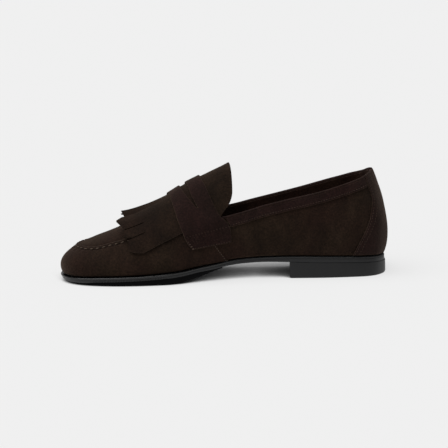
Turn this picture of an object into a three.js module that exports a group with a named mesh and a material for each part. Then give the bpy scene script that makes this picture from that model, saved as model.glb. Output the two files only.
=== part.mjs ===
// Kiltie loafer, a right shoe: hollow suede upper with a raised toe seam, a fringed kiltie under
// a slotted saddle strap, a bound collar, a heel patch and a moulded sole with a block heel.
// Millimetres. X runs from the back of the heel to the toe, Y to the inner side, Z up.
import * as THREE from 'three';

// Driving sizes
const shoeLength = 290;
const ballWidth = 101;
const seatHeight = 20;
const instepHeight = 83;
const collarHeight = 90;

// Upper and what lies on it
const upperWall = 2;
const coverGap = 0.32;
const endGap = 0.6;
const seamHeight = 0.9;
const seamHalfWidth = 2;
const tongueThickness = 1.2;
const kiltieThickness = 1.3;
const strapThickness = 1.3;
const strapSettle = 8;
const bindingThickness = 1.1;
const bindingDepth = 10;
const patchThickness = 1.1;
const patchGap = 0.45;

// Sole
const soleGap = 0.3;
const rimThickness = 2.2;
const rimRound = 0.6;
const stepInset = 0.5;
const ribDepth = 0.5;
const ribPitch = 2.3;
const ribsFrom = 0.69;
const ribsTo = 0.925;
const treadInset = 2.6;
const treadTaper = 0.4;
const treadRound = 0.8;
const treadEnd = 0.52;
const heelLength = 92.5;
const heelLengthOuter = 81;
const heelInset = 0.5;
const heelTaper = 0.3;
const heelChamfer = 0.8;
const insoleThickness = 2.6;
const insoleRound = 0.6;
const insoleClearance = 0.6;

// Plan of the sole and its heights. at: share of shoeLength from the heel. inner, outer: edges,
// shares of ballWidth. seat: top of the sole, share of seatHeight. margin: how far the upper's
// foot stands inside the edge, band: thickness of the edge band, tuck: how far the foot of the
// band draws in, rake: how far the rim leans in over the heel block, floor: underside of the
// tread, in shares of seatHeight.
const outline = [
  { at: 0.000, inner: 0.000, outer: 0.000, seat: 0.810, margin: 0.205, band: 0.275, tuck: 0.000, rake: 0.105, floor: 0.000 },
  { at: 0.020, inner: 0.176, outer: -0.176, seat: 0.850, margin: 0.185, band: 0.280, tuck: 0.000, rake: 0.095, floor: 0.000 },
  { at: 0.052, inner: 0.268, outer: -0.268, seat: 0.890, margin: 0.130, band: 0.285, tuck: 0.000, rake: 0.070, floor: 0.000 },
  { at: 0.110, inner: 0.312, outer: -0.314, seat: 0.925, margin: 0.072, band: 0.290, tuck: 0.000, rake: 0.030, floor: 0.000 },
  { at: 0.190, inner: 0.316, outer: -0.322, seat: 0.960, margin: 0.050, band: 0.290, tuck: 0.000, rake: 0.000, floor: 0.720 },
  { at: 0.320, inner: 0.283, outer: -0.314, seat: 0.990, margin: 0.045, band: 0.270, tuck: 0.000, rake: 0.000, floor: 0.720 },
  { at: 0.415, inner: 0.256, outer: -0.330, seat: 0.960, margin: 0.045, band: 0.230, tuck: 0.000, rake: 0.000, floor: 0.720 },
  { at: 0.500, inner: 0.280, outer: -0.393, seat: 0.880, margin: 0.060, band: 0.225, tuck: 0.000, rake: 0.000, floor: 0.590 },
  { at: 0.550, inner: 0.322, outer: -0.440, seat: 0.775, margin: 0.080, band: 0.225, tuck: 0.000, rake: 0.000, floor: 0.430 },
  { at: 0.600, inner: 0.366, outer: -0.492, seat: 0.695, margin: 0.100, band: 0.225, tuck: 0.000, rake: 0.000, floor: 0.210 },
  { at: 0.655, inner: 0.420, outer: -0.536, seat: 0.585, margin: 0.110, band: 0.225, tuck: 0.000, rake: 0.000, floor: 0.050 },
  { at: 0.705, inner: 0.446, outer: -0.546, seat: 0.525, margin: 0.115, band: 0.225, tuck: 0.000, rake: 0.000, floor: 0.000 },
  { at: 0.760, inner: 0.450, outer: -0.530, seat: 0.480, margin: 0.115, band: 0.225, tuck: 0.000, rake: 0.000, floor: 0.000 },
  { at: 0.830, inner: 0.437, outer: -0.472, seat: 0.440, margin: 0.115, band: 0.225, tuck: 0.000, rake: 0.000, floor: 0.000 },
  { at: 0.895, inner: 0.396, outer: -0.390, seat: 0.410, margin: 0.110, band: 0.230, tuck: 0.010, rake: 0.000, floor: 0.000 },
  { at: 0.950, inner: 0.326, outer: -0.264, seat: 0.370, margin: 0.100, band: 0.255, tuck: 0.050, rake: 0.000, floor: 0.020 },
  { at: 0.982, inner: 0.234, outer: -0.140, seat: 0.350, margin: 0.090, band: 0.260, tuck: 0.090, rake: 0.000, floor: 0.035 },
  { at: 1.000, inner: 0.058, outer: 0.058, seat: 0.345, margin: 0.085, band: 0.260, tuck: 0.125, rake: 0.000, floor: 0.045 },
];

// Cross-sections of the last, each from the foot of the upper to the crest over the instep.
// crestAt, lean: where the section meets the crest, shares of shoeLength and of ballWidth.
// crest, rise, drop: height of the crest, of the side's swell and of the shoulder's fall, shares
// of instepHeight. belly: swell of the side, share of ballWidth. shoulder: breadth of the top,
// share of the section's half width. Behind the throat the crest is the open air over the collar.
const sections = [
  { at: 0.00, crestAt: 0.124, lean: 0.000, crest: 1.540, belly: 0.088, rise: 0.166, shoulder: 1.03, drop: 0.52 },
  { at: 0.10, crestAt: 0.172, lean: 0.000, crest: 1.535, belly: 0.078, rise: 0.262, shoulder: 0.98, drop: 0.44 },
  { at: 0.20, crestAt: 0.220, lean: 0.000, crest: 1.515, belly: 0.088, rise: 0.315, shoulder: 0.92, drop: 0.34 },
  { at: 0.30, crestAt: 0.303, lean: 0.000, crest: 1.450, belly: 0.095, rise: 0.325, shoulder: 0.88, drop: 0.24 },
  { at: 0.40, crestAt: 0.400, lean: 0.000, crest: 1.325, belly: 0.094, rise: 0.310, shoulder: 0.82, drop: 0.12 },
  { at: 0.50, crestAt: 0.500, lean: 0.000, crest: 1.153, belly: 0.080, rise: 0.290, shoulder: 0.74, drop: 0.00 },
  { at: 0.55, crestAt: 0.550, lean: 0.000, crest: 1.073, belly: 0.070, rise: 0.265, shoulder: 0.70, drop: 0.00 },
  { at: 0.60, crestAt: 0.600, lean: 0.000, crest: 0.990, belly: 0.060, rise: 0.240, shoulder: 0.66, drop: 0.00 },
  { at: 0.70, crestAt: 0.698, lean: 0.008, crest: 0.790, belly: 0.046, rise: 0.205, shoulder: 0.62, drop: 0.00 },
  { at: 0.80, crestAt: 0.788, lean: 0.022, crest: 0.594, belly: 0.036, rise: 0.170, shoulder: 0.66, drop: 0.00 },
  { at: 0.87, crestAt: 0.840, lean: 0.034, crest: 0.512, belly: 0.036, rise: 0.150, shoulder: 0.72, drop: 0.00 },
  { at: 0.93, crestAt: 0.873, lean: 0.040, crest: 0.471, belly: 0.042, rise: 0.140, shoulder: 0.78, drop: 0.00 },
  { at: 0.97, crestAt: 0.892, lean: 0.044, crest: 0.450, belly: 0.055, rise: 0.145, shoulder: 0.79, drop: 0.00 },
  { at: 1.00, crestAt: 0.903, lean: 0.046, crest: 0.437, belly: 0.068, rise: 0.158, shoulder: 0.76, drop: 0.00 },
];

// Top line of the collar on each side, then the throat, which climbs to the crest.
// at: share of shoeLength. inner, outer: heights, shares of collarHeight.
const collar = [
  { at: 0.000, inner: 1.012, outer: 1.012 },
  { at: 0.050, inner: 1.008, outer: 1.018 },
  { at: 0.063, inner: 0.996, outer: 0.985 },
  { at: 0.105, inner: 0.950, outer: 0.930 },
  { at: 0.165, inner: 0.893, outer: 0.873 },
  { at: 0.242, inner: 0.829, outer: 0.804 },
  { at: 0.318, inner: 0.777, outer: 0.745 },
  { at: 0.394, inner: 0.719, outer: 0.687 },
  { at: 0.470, inner: 0.652, outer: 0.624 },
  { at: 0.527, inner: 0.619, outer: 0.592 },
  { at: 0.540, inner: 0.665, outer: 0.639 },
  { at: 0.563, inner: 0.868, outer: 0.852 },
  { at: 0.583, inner: 0.985, outer: 0.969 },
  { at: 0.600, inner: 1.500, outer: 1.500 },
];

// Line of the raised seam round the toe, run on under the strap and along the quarters.
// at: share of shoeLength. height: share of instepHeight. show: how much of the seam stands up.
const seamLine = [
  { at: 0.00, height: 0.560, show: 0 },
  { at: 0.30, height: 0.530, show: 0 },
  { at: 0.50, height: 0.470, show: 0 },
  { at: 0.60, height: 0.540, show: 0 },
  { at: 0.70, height: 0.520, show: 0 },
  { at: 0.75, height: 0.485, show: 0 },
  { at: 0.80, height: 0.466, show: 1 },
  { at: 0.83, height: 0.439, show: 1 },
  { at: 0.86, height: 0.412, show: 1 },
  { at: 0.89, height: 0.386, show: 1 },
  { at: 0.92, height: 0.372, show: 1 },
  { at: 1.00, height: 0.367, show: 1 },
];

// Saddle strap. down: distance from the crest as a share of the strap's reach, which grows from
// its front edge to its back edge. front, back: its edges, shares of shoeLength.
const strapReach = 67;
const strapReachBack = 73.5;
const strapEdges = [
  { down: 0.00, front: 0.6675, back: 0.5735 },
  { down: 0.07, front: 0.6673, back: 0.5732 },
  { down: 0.25, front: 0.6655, back: 0.5640 },
  { down: 0.50, front: 0.6585, back: 0.5462 },
  { down: 0.65, front: 0.6510, back: 0.5295 },
  { down: 0.75, front: 0.6446, back: 0.5088 },
  { down: 0.88, front: 0.6326, back: 0.4980 },
  { down: 1.00, front: 0.6162, back: 0.4974 },
];
const slotCentre = 0.624;
const slotSweep = 0.028;
const slotSweepPower = 2.1;
const slotPastSweep = 0.035;
const slotWidth = 6;
const slotTip = 0.8;
const slotTaper = 1.4;
const slotReach = 0.47;

// Fringe, from the middle strip outwards. near, far: sides of each strip, distances from the
// crest as shares of fringeReach. high, tip, low: length of its upper corner, its end and its
// lower corner, shares of shoeLength. The strips on the outer side are shorter by outerShort, a
// share of shoeLength.
const fringeReach = 49;
const slitWidth = 0.9;
const kiltieFrom = 0.588;
const slitRoot = 0.750;
const outerShort = 0.022;
const fringe = [
  { near: -0.14, far: 0.14, high: 0.792, tip: 0.796, low: 0.792 },
  { near: 0.14, far: 0.46, high: 0.810, tip: 0.817, low: 0.803 },
  { near: 0.46, far: 0.66, high: 0.804, tip: 0.809, low: 0.783 },
  { near: 0.66, far: 1.00, high: 0.794, tip: 0.795, low: 0.758 },
];

// How far the fringe stands off the vamp: it curls up from curlFrom on and stands off by the
// table's value at curlTo, shares of shoeLength. down: distance from the crest. stand: in
// millimetres.
const curlFrom = 0.665;
const curlTo = 0.792;
const curlPower = 1.35;
const fringeStand = [
  { down: 0, stand: 10.7 },
  { down: 7, stand: 7.4 },
  { down: 15, stand: 6.9 },
  { down: 22.5, stand: 4.7 },
  { down: 32, stand: 3.0 },
  { down: 49, stand: 1.2 },
];

// Tongue. across: share of tongueReach from the crest. back: its rear edge, share of shoeLength.
const tongueReach = 50;
const tongueFront = 0.582;
const tongueEdge = [
  { across: 0.00, back: 0.4855 },
  { across: 0.60, back: 0.4885 },
  { across: 0.80, back: 0.5000 },
  { across: 0.92, back: 0.5225 },
  { across: 1.00, back: 0.5335 },
];

// Heel patch: its front edge. height: share of collarHeight. front: share of shoeLength.
const counterEdge = [
  { height: 0.17, front: 0.142 },
  { height: 0.24, front: 0.125 },
  { height: 0.34, front: 0.109 },
  { height: 0.44, front: 0.093 },
  { height: 0.53, front: 0.080 },
  { height: 0.64, front: 0.071 },
  { height: 0.74, front: 0.067 },
  { height: 0.80, front: 0.071 },
  { height: 0.90, front: 0.080 },
  { height: 1.02, front: 0.090 },
];

// A smooth curve through two columns of a table that never swings past its points
function curve(rows, along, value, spread = v => v) {
  const x = rows.map(row => spread(row[along]));
  const y = rows.map(row => row[value]);
  const last = x.length - 1;
  const rate = i => (y[i + 1] - y[i]) / (x[i + 1] - x[i]);
  const slope = x.map((_, i) => {
    if (i === 0) return rate(0);
    if (i === last) return rate(last - 1);
    const before = x[i] - x[i - 1];
    const after = x[i + 1] - x[i];
    const mean = (rate(i - 1) * after + rate(i) * before) / (before + after);
    const least = Math.min(Math.abs(rate(i - 1)), Math.abs(rate(i)), 0.5 * Math.abs(mean));
    return (Math.sign(rate(i - 1)) + Math.sign(rate(i))) * least;
  });
  return place => {
    const p = THREE.MathUtils.clamp(spread(place), x[0], x[last]);
    let i = 0;
    while (i < last - 1 && p > x[i + 1]) i += 1;
    const width = x[i + 1] - x[i];
    const s = (p - x[i]) / width;
    const rest = 1 - s;
    return y[i] * rest * rest * (1 + 2 * s) + y[i + 1] * s * s * (3 - 2 * s)
      + width * (slope[i] * s * rest * rest - slope[i + 1] * s * s * rest);
  };
}

// Round ends: a station is spread so that heel and toe close as curves, not as points
const turnOf = at => Math.acos(1 - 2 * THREE.MathUtils.clamp(at, 0, 1)) / Math.PI;
const stationOf = turn => (1 - Math.cos(Math.PI * turn)) / 2;

const planCurve = name => curve(outline, 'at', name, turnOf);
const plan = {
  inner: planCurve('inner'),
  outer: planCurve('outer'),
  seat: planCurve('seat'),
  margin: planCurve('margin'),
  band: planCurve('band'),
  tuck: planCurve('tuck'),
  rake: planCurve('rake'),
  floor: planCurve('floor'),
};
const seatAt = at => plan.seat(at) * seatHeight;
const bandAt = at => plan.band(at) * seatHeight;
const floorAt = at => plan.floor(at) * seatHeight;
const tuckOf = turn => plan.tuck(stationOf(turn)) * seatHeight;
const rakeOf = turn => plan.rake(stationOf(turn)) * seatHeight;
const bandFoot = at => seatAt(at) - bandAt(at) - soleGap;

// A place on the sole's edge. turn runs from 0 at the heel to 1 at the toe, side is 1 or -1.
function edgePoint(turn, side) {
  const within = turn < 0 ? -turn : turn > 1 ? 2 - turn : turn;
  const onSide = within === turn ? side : -side;
  const at = stationOf(within);
  const width = (onSide > 0 ? plan.inner(at) : plan.outer(at)) * ballWidth;
  return new THREE.Vector2(at * shoeLength, width);
}

// The same place moved inwards, square to the edge
function insetPoint(turn, side, inset) {
  const step = 0.004;
  const along = edgePoint(turn + step, side).sub(edgePoint(turn - step, side)).normalize();
  const inwards = new THREE.Vector2(along.y, -along.x).multiplyScalar(side);
  return edgePoint(turn, side).addScaledVector(inwards, inset);
}

const sectionCurve = name => curve(sections, 'at', name, turnOf);
const section = {
  crestAt: sectionCurve('crestAt'),
  lean: sectionCurve('lean'),
  crest: sectionCurve('crest'),
  belly: sectionCurve('belly'),
  rise: sectionCurve('rise'),
  shoulder: sectionCurve('shoulder'),
  drop: sectionCurve('drop'),
};
const crestPoint = at => new THREE.Vector3(
  section.crestAt(at) * shoeLength,
  section.lean(at) * ballWidth,
  section.crest(at) * instepHeight,
);

// One section of the last's skin as a cubic curve from the upper's foot to the crest
const ribStore = new Map();
function rib(turn, side) {
  const key = `${turn.toFixed(6)}/${turn > 0 && turn < 1 ? side : 0}`;
  if (ribStore.has(key)) return ribStore.get(key);
  const at = stationOf(turn);
  const flat = insetPoint(turn, side, plan.margin(at) * seatHeight);
  const foot = new THREE.Vector3(flat.x, flat.y, seatAt(flat.x / shoeLength) + soleGap);
  const crest = crestPoint(at);
  const step = 0.01;
  const ahead = crestPoint(Math.min(at + step, 1));
  const behind = crestPoint(Math.max(at - step, 0));
  const slope = at < 0.5 ? 0 : (ahead.z - behind.z) / (ahead.x - behind.x);
  const out = new THREE.Vector3(foot.x - crest.x, foot.y - crest.y, 0);
  const spread = out.clone().multiplyScalar(section.shoulder(at));
  const knee = foot.clone().addScaledVector(out.clone().normalize(), section.belly(at) * ballWidth);
  knee.z += section.rise(at) * instepHeight;
  const brow = crest.clone().add(spread);
  brow.z += slope * spread.x - section.drop(at) * instepHeight;
  const made = new THREE.CubicBezierCurve3(foot, knee, brow, crest);
  ribStore.set(key, made);
  return made;
}

// First place along a rib where a test turns true, or the crest
function firstAlong(made, test) {
  const stepCount = 60;
  let low = 0;
  for (let i = 1; i <= stepCount; i += 1) {
    if (!test(made.getPoint(i / stepCount))) {
      low = i / stepCount;
      continue;
    }
    let high = i / stepCount;
    for (let k = 0; k < 24; k += 1) {
      const middle = (low + high) / 2;
      if (test(made.getPoint(middle))) high = middle;
      else low = middle;
    }
    return high;
  }
  return 1;
}

const collarLine = { 1: curve(collar, 'at', 'inner'), [-1]: curve(collar, 'at', 'outer') };
const collarOf = (turn, side) => firstAlong(
  rib(turn, side),
  p => p.z >= collarLine[side](p.x / shoeLength) * collarHeight,
);

const seamAt = curve(seamLine, 'at', 'height');
const seamShow = curve(seamLine, 'at', 'show');

// A sheet is a net of four-cornered cells on shared corners. thicken turns it into a solid:
// each corner gives an outer and an inner place, and each open edge gets a wall.
function makeSheet() {
  const corners = [];
  const known = new Map();
  const cells = [];
  const corner = (point, extra = {}) => {
    const key = [point.x, point.y, point.z].map(v => Math.round(v * 2000)).join();
    if (!known.has(key)) {
      known.set(key, corners.length);
      corners.push({ point, ...extra });
    }
    return known.get(key);
  };
  const cell = (a, b, c, d) => {
    const ring = [a, b, c, d].filter((v, i, all) => v !== all[(i + 1) % all.length]);
    if (new Set(ring).size > 2) cells.push(ring);
  };
  return { corners, cells, corner, cell };
}

function triangles(cells) {
  return cells.flatMap(ring => (ring.length === 3
    ? [ring]
    : [[ring[0], ring[1], ring[2]], [ring[0], ring[2], ring[3]]]));
}

function sheetNormals(sheet) {
  const normals = sheet.corners.map(() => new THREE.Vector3());
  triangles(sheet.cells).forEach(([a, b, c]) => {
    const [pa, pb, pc] = [a, b, c].map(i => sheet.corners[i].point);
    const face = pb.clone().sub(pa).cross(pc.clone().sub(pa));
    [a, b, c].forEach(i => normals[i].add(face));
  });
  return normals.map(n => n.normalize());
}

// lift: height of the inner face over the sheet. A corner's own lift, raise and level add to it:
// lift moves both faces, raise the outer one alone, and level keeps both at one height.
function thicken(sheet, lift, thickness) {
  const normals = sheetNormals(sheet);
  const count = sheet.corners.length;
  const places = [];
  sheet.corners.forEach((c, i) => {
    const height = lift + (c.lift ?? 0);
    places.push(c.point.clone().addScaledVector(normals[i], height + thickness + (c.raise ?? 0)));
  });
  sheet.corners.forEach((c, i) => {
    const height = lift + (c.lift ?? 0);
    const inner = c.point.clone().addScaledVector(normals[i], height);
    if (c.level) inner.z = places[i].z;
    places.push(inner);
  });
  const faces = triangles(sheet.cells);
  const edges = new Set();
  sheet.cells.forEach(ring => ring.forEach((v, i) => edges.add(`${v}/${ring[(i + 1) % ring.length]}`)));
  const solid = [...faces, ...faces.map(([a, b, c]) => [c + count, b + count, a + count])];
  edges.forEach(key => {
    const [a, b] = key.split('/').map(Number);
    if (edges.has(`${b}/${a}`)) return;
    solid.push([b, a, a + count], [b, a + count, b + count]);
  });
  return geometryOf(places, solid);
}

function geometryOf(places, faces) {
  const geometry = new THREE.BufferGeometry();
  geometry.setAttribute('position', new THREE.Float32BufferAttribute(places.flatMap(p => p.toArray()), 3));
  geometry.setIndex(faces.flat());
  return geometry;
}

// Stations from a list of spans, each cut evenly in its turn
function stations(spans) {
  const turns = [turnOf(spans[0].from)];
  spans.forEach(({ from, to, parts }) => {
    for (let i = 1; i <= parts; i += 1) {
      turns.push(THREE.MathUtils.lerp(turnOf(from), turnOf(to), i / parts));
    }
  });
  return turns;
}

// Upper: one hollow shell from the feather line to the collar and, in front of the throat, over
// the crest. Its seam is three rows of corners with the middle one raised.
function upperGeometry() {
  const turns = stations([
    { from: 0, to: 0.1, parts: 5 },
    { from: 0.1, to: 0.5, parts: 9 },
    { from: 0.5, to: 0.6, parts: 9 },
    { from: 0.6, to: 0.85, parts: 8 },
    { from: 0.85, to: 1, parts: 7 },
  ]);
  const rowCountBelow = 5;
  const rowCountAbove = 5;
  const sheet = makeSheet();
  const column = (turn, side) => {
    const made = rib(turn, side);
    const top = collarOf(turn, side);
    const seam = Math.min(
      firstAlong(made, p => p.z >= seamAt(p.x / shoeLength) * instepHeight),
      0.8 * top,
    );
    const step = 0.001;
    const pace = made.getPoint(seam).distanceTo(made.getPoint(seam + step)) / step;
    const half = seamHalfWidth / pace;
    const shares = [];
    for (let i = 0; i < rowCountBelow; i += 1) shares.push((seam - half) * i / rowCountBelow);
    shares.push(seam - half, seam, seam + half);
    for (let i = 1; i <= rowCountAbove; i += 1) shares.push(THREE.MathUtils.lerp(seam + half, top, i / rowCountAbove));
    return shares.map((share, row) => {
      const point = made.getPoint(share);
      const raise = row === rowCountBelow + 1 ? seamHeight * seamShow(point.x / shoeLength) : 0;
      return sheet.corner(point, { raise, level: row === 0 });
    });
  };
  [1, -1].forEach(side => {
    const columns = turns.map(turn => column(turn, side));
    for (let i = 0; i < columns.length - 1; i += 1) {
      for (let k = 0; k < columns[i].length - 1; k += 1) {
        const [a, b] = side < 0 ? [columns[i + 1], columns[i]] : [columns[i], columns[i + 1]];
        sheet.cell(a[k], a[k + 1], b[k + 1], b[k]);
      }
    }
  });
  return thicken(sheet, -upperWall, upperWall);
}

// Turn of the rib that meets the crest at a given length
const crestTurn = at => {
  let low = 0;
  let high = 1;
  for (let k = 0; k < 40; k += 1) {
    const middle = (low + high) / 2;
    if (section.crestAt(stationOf(middle)) < at) low = middle;
    else high = middle;
  }
  return (low + high) / 2;
};

// Place on the last at a length and a distance down from the crest, minus on the outer side
function skinPoint(at, down) {
  const made = rib(crestTurn(at), down < 0 ? -1 : 1);
  const stepCount = 80;
  let left = Math.abs(down);
  let from = made.getPoint(1);
  for (let i = 1; i <= stepCount; i += 1) {
    const to = made.getPoint(1 - i / stepCount);
    const pace = from.distanceTo(to);
    if (pace >= left) return from.lerp(to, left / pace);
    left -= pace;
    from = to;
  }
  return from;
}

const evenly = (from, to, parts) => Array.from({ length: parts + 1 }, (_, i) => from + (to - from) * i / parts);

// A sheet of rows that run across the crest. lines gives the lengths of the corners at each
// place across, from front to back, and kept says which cells are there.
function saddleSheet(across, lines, kept = () => true, extra = () => ({})) {
  const sheet = makeSheet();
  const columns = across.map(down => lines(down).map((at, i) => (
    sheet.corner(skinPoint(at, down), extra(at, down, i)))));
  for (let i = 0; i < columns.length - 1; i += 1) {
    for (let k = 0; k < columns[i].length - 1; k += 1) {
      if (kept(i, k)) sheet.cell(columns[i][k], columns[i + 1][k], columns[i + 1][k + 1], columns[i][k + 1]);
    }
  }
  return sheet;
}

function tongueGeometry() {
  const back = curve(tongueEdge, 'across', 'back');
  const sheet = saddleSheet(
    evenly(-tongueReach, tongueReach, 24),
    down => evenly(tongueFront, back(Math.abs(down) / tongueReach), 7),
  );
  return thicken(sheet, coverGap, tongueThickness);
}

// Kiltie: the strips run forward from one piece under the strap and stand off at their tips
function kiltieGeometry() {
  const cutCount = 4;
  const joinedCount = 6;
  const freeCount = 5;
  const outward = sign => fringe.slice(1).map(strip => ({ strip, sign }));
  const order = [...outward(-1).reverse(), { strip: fringe[0], sign: 1 }, ...outward(1)];
  const columns = order.flatMap(({ strip, sign }, index) => {
    const near = strip.near * fringeReach + slitWidth / 2;
    const far = strip.far * fringeReach - (strip.far < 1 ? slitWidth / 2 : 0);
    const shares = evenly(0, 1, cutCount).map(share => (sign > 0 ? share : 1 - share));
    return shares.map(share => {
      const off = Math.abs(2 * share - 1) ** 1.5;
      const short = sign < 0 ? outerShort : 0;
      const end = THREE.MathUtils.lerp(strip.tip, share < 0.5 ? strip.high : strip.low, off) - short;
      const down = sign * THREE.MathUtils.lerp(near, far, share);
      const root = slitRoot - short;
      const lengths = [...evenly(kiltieFrom, root, joinedCount), ...evenly(root, end, freeCount).slice(1)];
      return { index, lengths, down };
    });
  });
  const sheet = makeSheet();
  const stand = curve(fringeStand, 'down', 'stand');
  const corners = columns.map(({ lengths, down }) => lengths.map(at => {
    const out = Math.max((at - curlFrom) / (curlTo - curlFrom), 0);
    return sheet.corner(skinPoint(at, down), { lift: stand(Math.abs(down)) * out ** curlPower });
  }));
  for (let i = 0; i < columns.length - 1; i += 1) {
    const slit = columns[i].index !== columns[i + 1].index;
    for (let k = 0; k < (slit ? joinedCount : joinedCount + freeCount); k += 1) {
      sheet.cell(corners[i][k + 1], corners[i + 1][k + 1], corners[i + 1][k], corners[i][k]);
    }
  }
  return thicken(sheet, coverGap, kiltieThickness);
}

const strapFront = curve(strapEdges, 'down', 'front');
const strapBack = curve(strapEdges, 'down', 'back');

// Strap corners at a share of its reach, from its front edge to its back edge. The slot takes
// the cell after slotCell others.
const slotCell = 3;
function strapLine(share) {
  const size = Math.abs(share);
  const front = strapFront(size);
  const back = strapBack(size);
  const run = Math.min(size / slotReach, 1);
  const half = THREE.MathUtils.lerp(slotWidth, slotTip, run ** slotTaper) / 2 / shoeLength;
  const centre = slotCentre - slotSweep * run ** slotSweepPower - slotPastSweep * Math.max(size - slotReach, 0);
  return [...evenly(front, centre + half, slotCell), ...evenly(centre - half, back, slotCell + 1)].map(at => {
    const along = (at - front) / (back - front);
    const down = share * THREE.MathUtils.lerp(strapReach, strapReachBack, along);
    return { at, down };
  });
}

// Strap: over tongue and kiltie at the crest, down on the upper at its ends, with a slot across
function strapGeometry() {
  const shares = [
    ...evenly(-1, -slotReach, 8),
    ...evenly(-slotReach, slotReach, 16).slice(1),
    ...evenly(slotReach, 1, 8).slice(1),
  ];
  const under = Math.max(tongueThickness, kiltieThickness) + coverGap;
  const sheet = makeSheet();
  const corners = shares.map(share => strapLine(share).map(({ at, down }) => {
    const clear = THREE.MathUtils.smoothstep(Math.abs(down), fringeReach + strapThickness, fringeReach + strapThickness + strapSettle);
    return sheet.corner(skinPoint(at, down), { lift: under * (1 - clear) });
  }));
  for (let i = 0; i < shares.length - 1; i += 1) {
    const open = Math.abs(shares[i] + shares[i + 1]) / 2 < slotReach;
    for (let k = 0; k < corners[i].length - 1; k += 1) {
      if (open && k === slotCell) continue;
      sheet.cell(corners[i][k], corners[i + 1][k], corners[i + 1][k + 1], corners[i][k + 1]);
    }
  }
  return thicken(sheet, coverGap, strapThickness);
}

// Length of the strap's back edge at a height on either side
function strapBackAt(side, z) {
  let low = 0;
  let high = 1;
  const place = size => {
    const corner = strapLine(side * size).at(-1);
    return skinPoint(corner.at, corner.down);
  };
  for (let k = 0; k < 24; k += 1) {
    const middle = (low + high) / 2;
    if (place(middle).z > z) low = middle;
    else high = middle;
  }
  return place((low + high) / 2).x;
}

// Place on the quarter at a turn, a distance below the collar
function belowCollar(turn, side, depth) {
  const made = rib(turn, side);
  const top = collarOf(turn, side);
  const pace = made.getPoint(top).distanceTo(made.getPoint(top - 0.02)) / 0.02;
  return made.getPoint(top - depth / pace);
}

const counterFront = curve(counterEdge, 'height', 'front');

// Turn where a line across the ribs reaches the heel patch's front edge, moved on by a gap
function counterTurn(placeAt, gap) {
  let low = 0;
  let high = 0.4;
  for (let k = 0; k < 40; k += 1) {
    const middle = (low + high) / 2;
    const p = placeAt(middle);
    if (p.x < counterFront(p.z / collarHeight) * shoeLength + gap) low = middle;
    else high = middle;
  }
  return (low + high) / 2;
}

// Turn where the binding, at a depth below the collar, meets the strap's back edge
function strapTurn(side, depth) {
  let low = 0.4;
  let high = turnOf(strapEdges[0].back);
  for (let k = 0; k < 24; k += 1) {
    const middle = (low + high) / 2;
    const p = belowCollar(middle, side, depth);
    if (p.x < strapBackAt(side, p.z) - endGap) low = middle;
    else high = middle;
  }
  return (low + high) / 2;
}

// Collar binding: from the strap's rear edge back to the heel patch, flush with the top line
function bindingGeometry(side) {
  const depths = evenly(0, bindingDepth, 3);
  const partCount = 22;
  const sheet = makeSheet();
  const rows = depths.map(depth => {
    const start = counterTurn(turn => belowCollar(turn, side, depth), endGap);
    const end = strapTurn(side, depth);
    return evenly(start, end, partCount).map(turn => sheet.corner(belowCollar(turn, side, depth)));
  });
  for (let k = 0; k < rows.length - 1; k += 1) {
    for (let i = 0; i < partCount; i += 1) {
      const ring = [rows[k][i], rows[k][i + 1], rows[k + 1][i + 1], rows[k + 1][i]];
      if (side > 0) sheet.cell(...ring);
      else sheet.cell(...ring.reverse());
    }
  }
  return thicken(sheet, coverGap, bindingThickness);
}

// Heel patch: round the back from the sole to the top line
function counterGeometry() {
  const levels = evenly(0.02, 1, 12);
  const sideCount = 7;
  const sheet = makeSheet();
  const placeOf = (turn, side, level) => rib(turn, side).getPoint(level * collarOf(turn, side));
  const rows = levels.map(level => {
    const ends = { 1: 0, [-1]: 0 };
    [1, -1].forEach(side => {
      ends[side] = counterTurn(turn => placeOf(turn, side, level), 0);
    });
    return [
      ...evenly(-ends[-1], 0, sideCount),
      ...evenly(0, ends[1], sideCount).slice(1),
    ].map(turn => sheet.corner(placeOf(Math.abs(turn), turn < 0 ? -1 : 1, level)));
  });
  for (let k = 0; k < rows.length - 1; k += 1) {
    for (let i = 0; i < 2 * sideCount; i += 1) {
      sheet.cell(rows[k][i], rows[k + 1][i], rows[k + 1][i + 1], rows[k][i + 1]);
    }
  }
  return thicken(sheet, patchGap, patchThickness);
}

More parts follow.
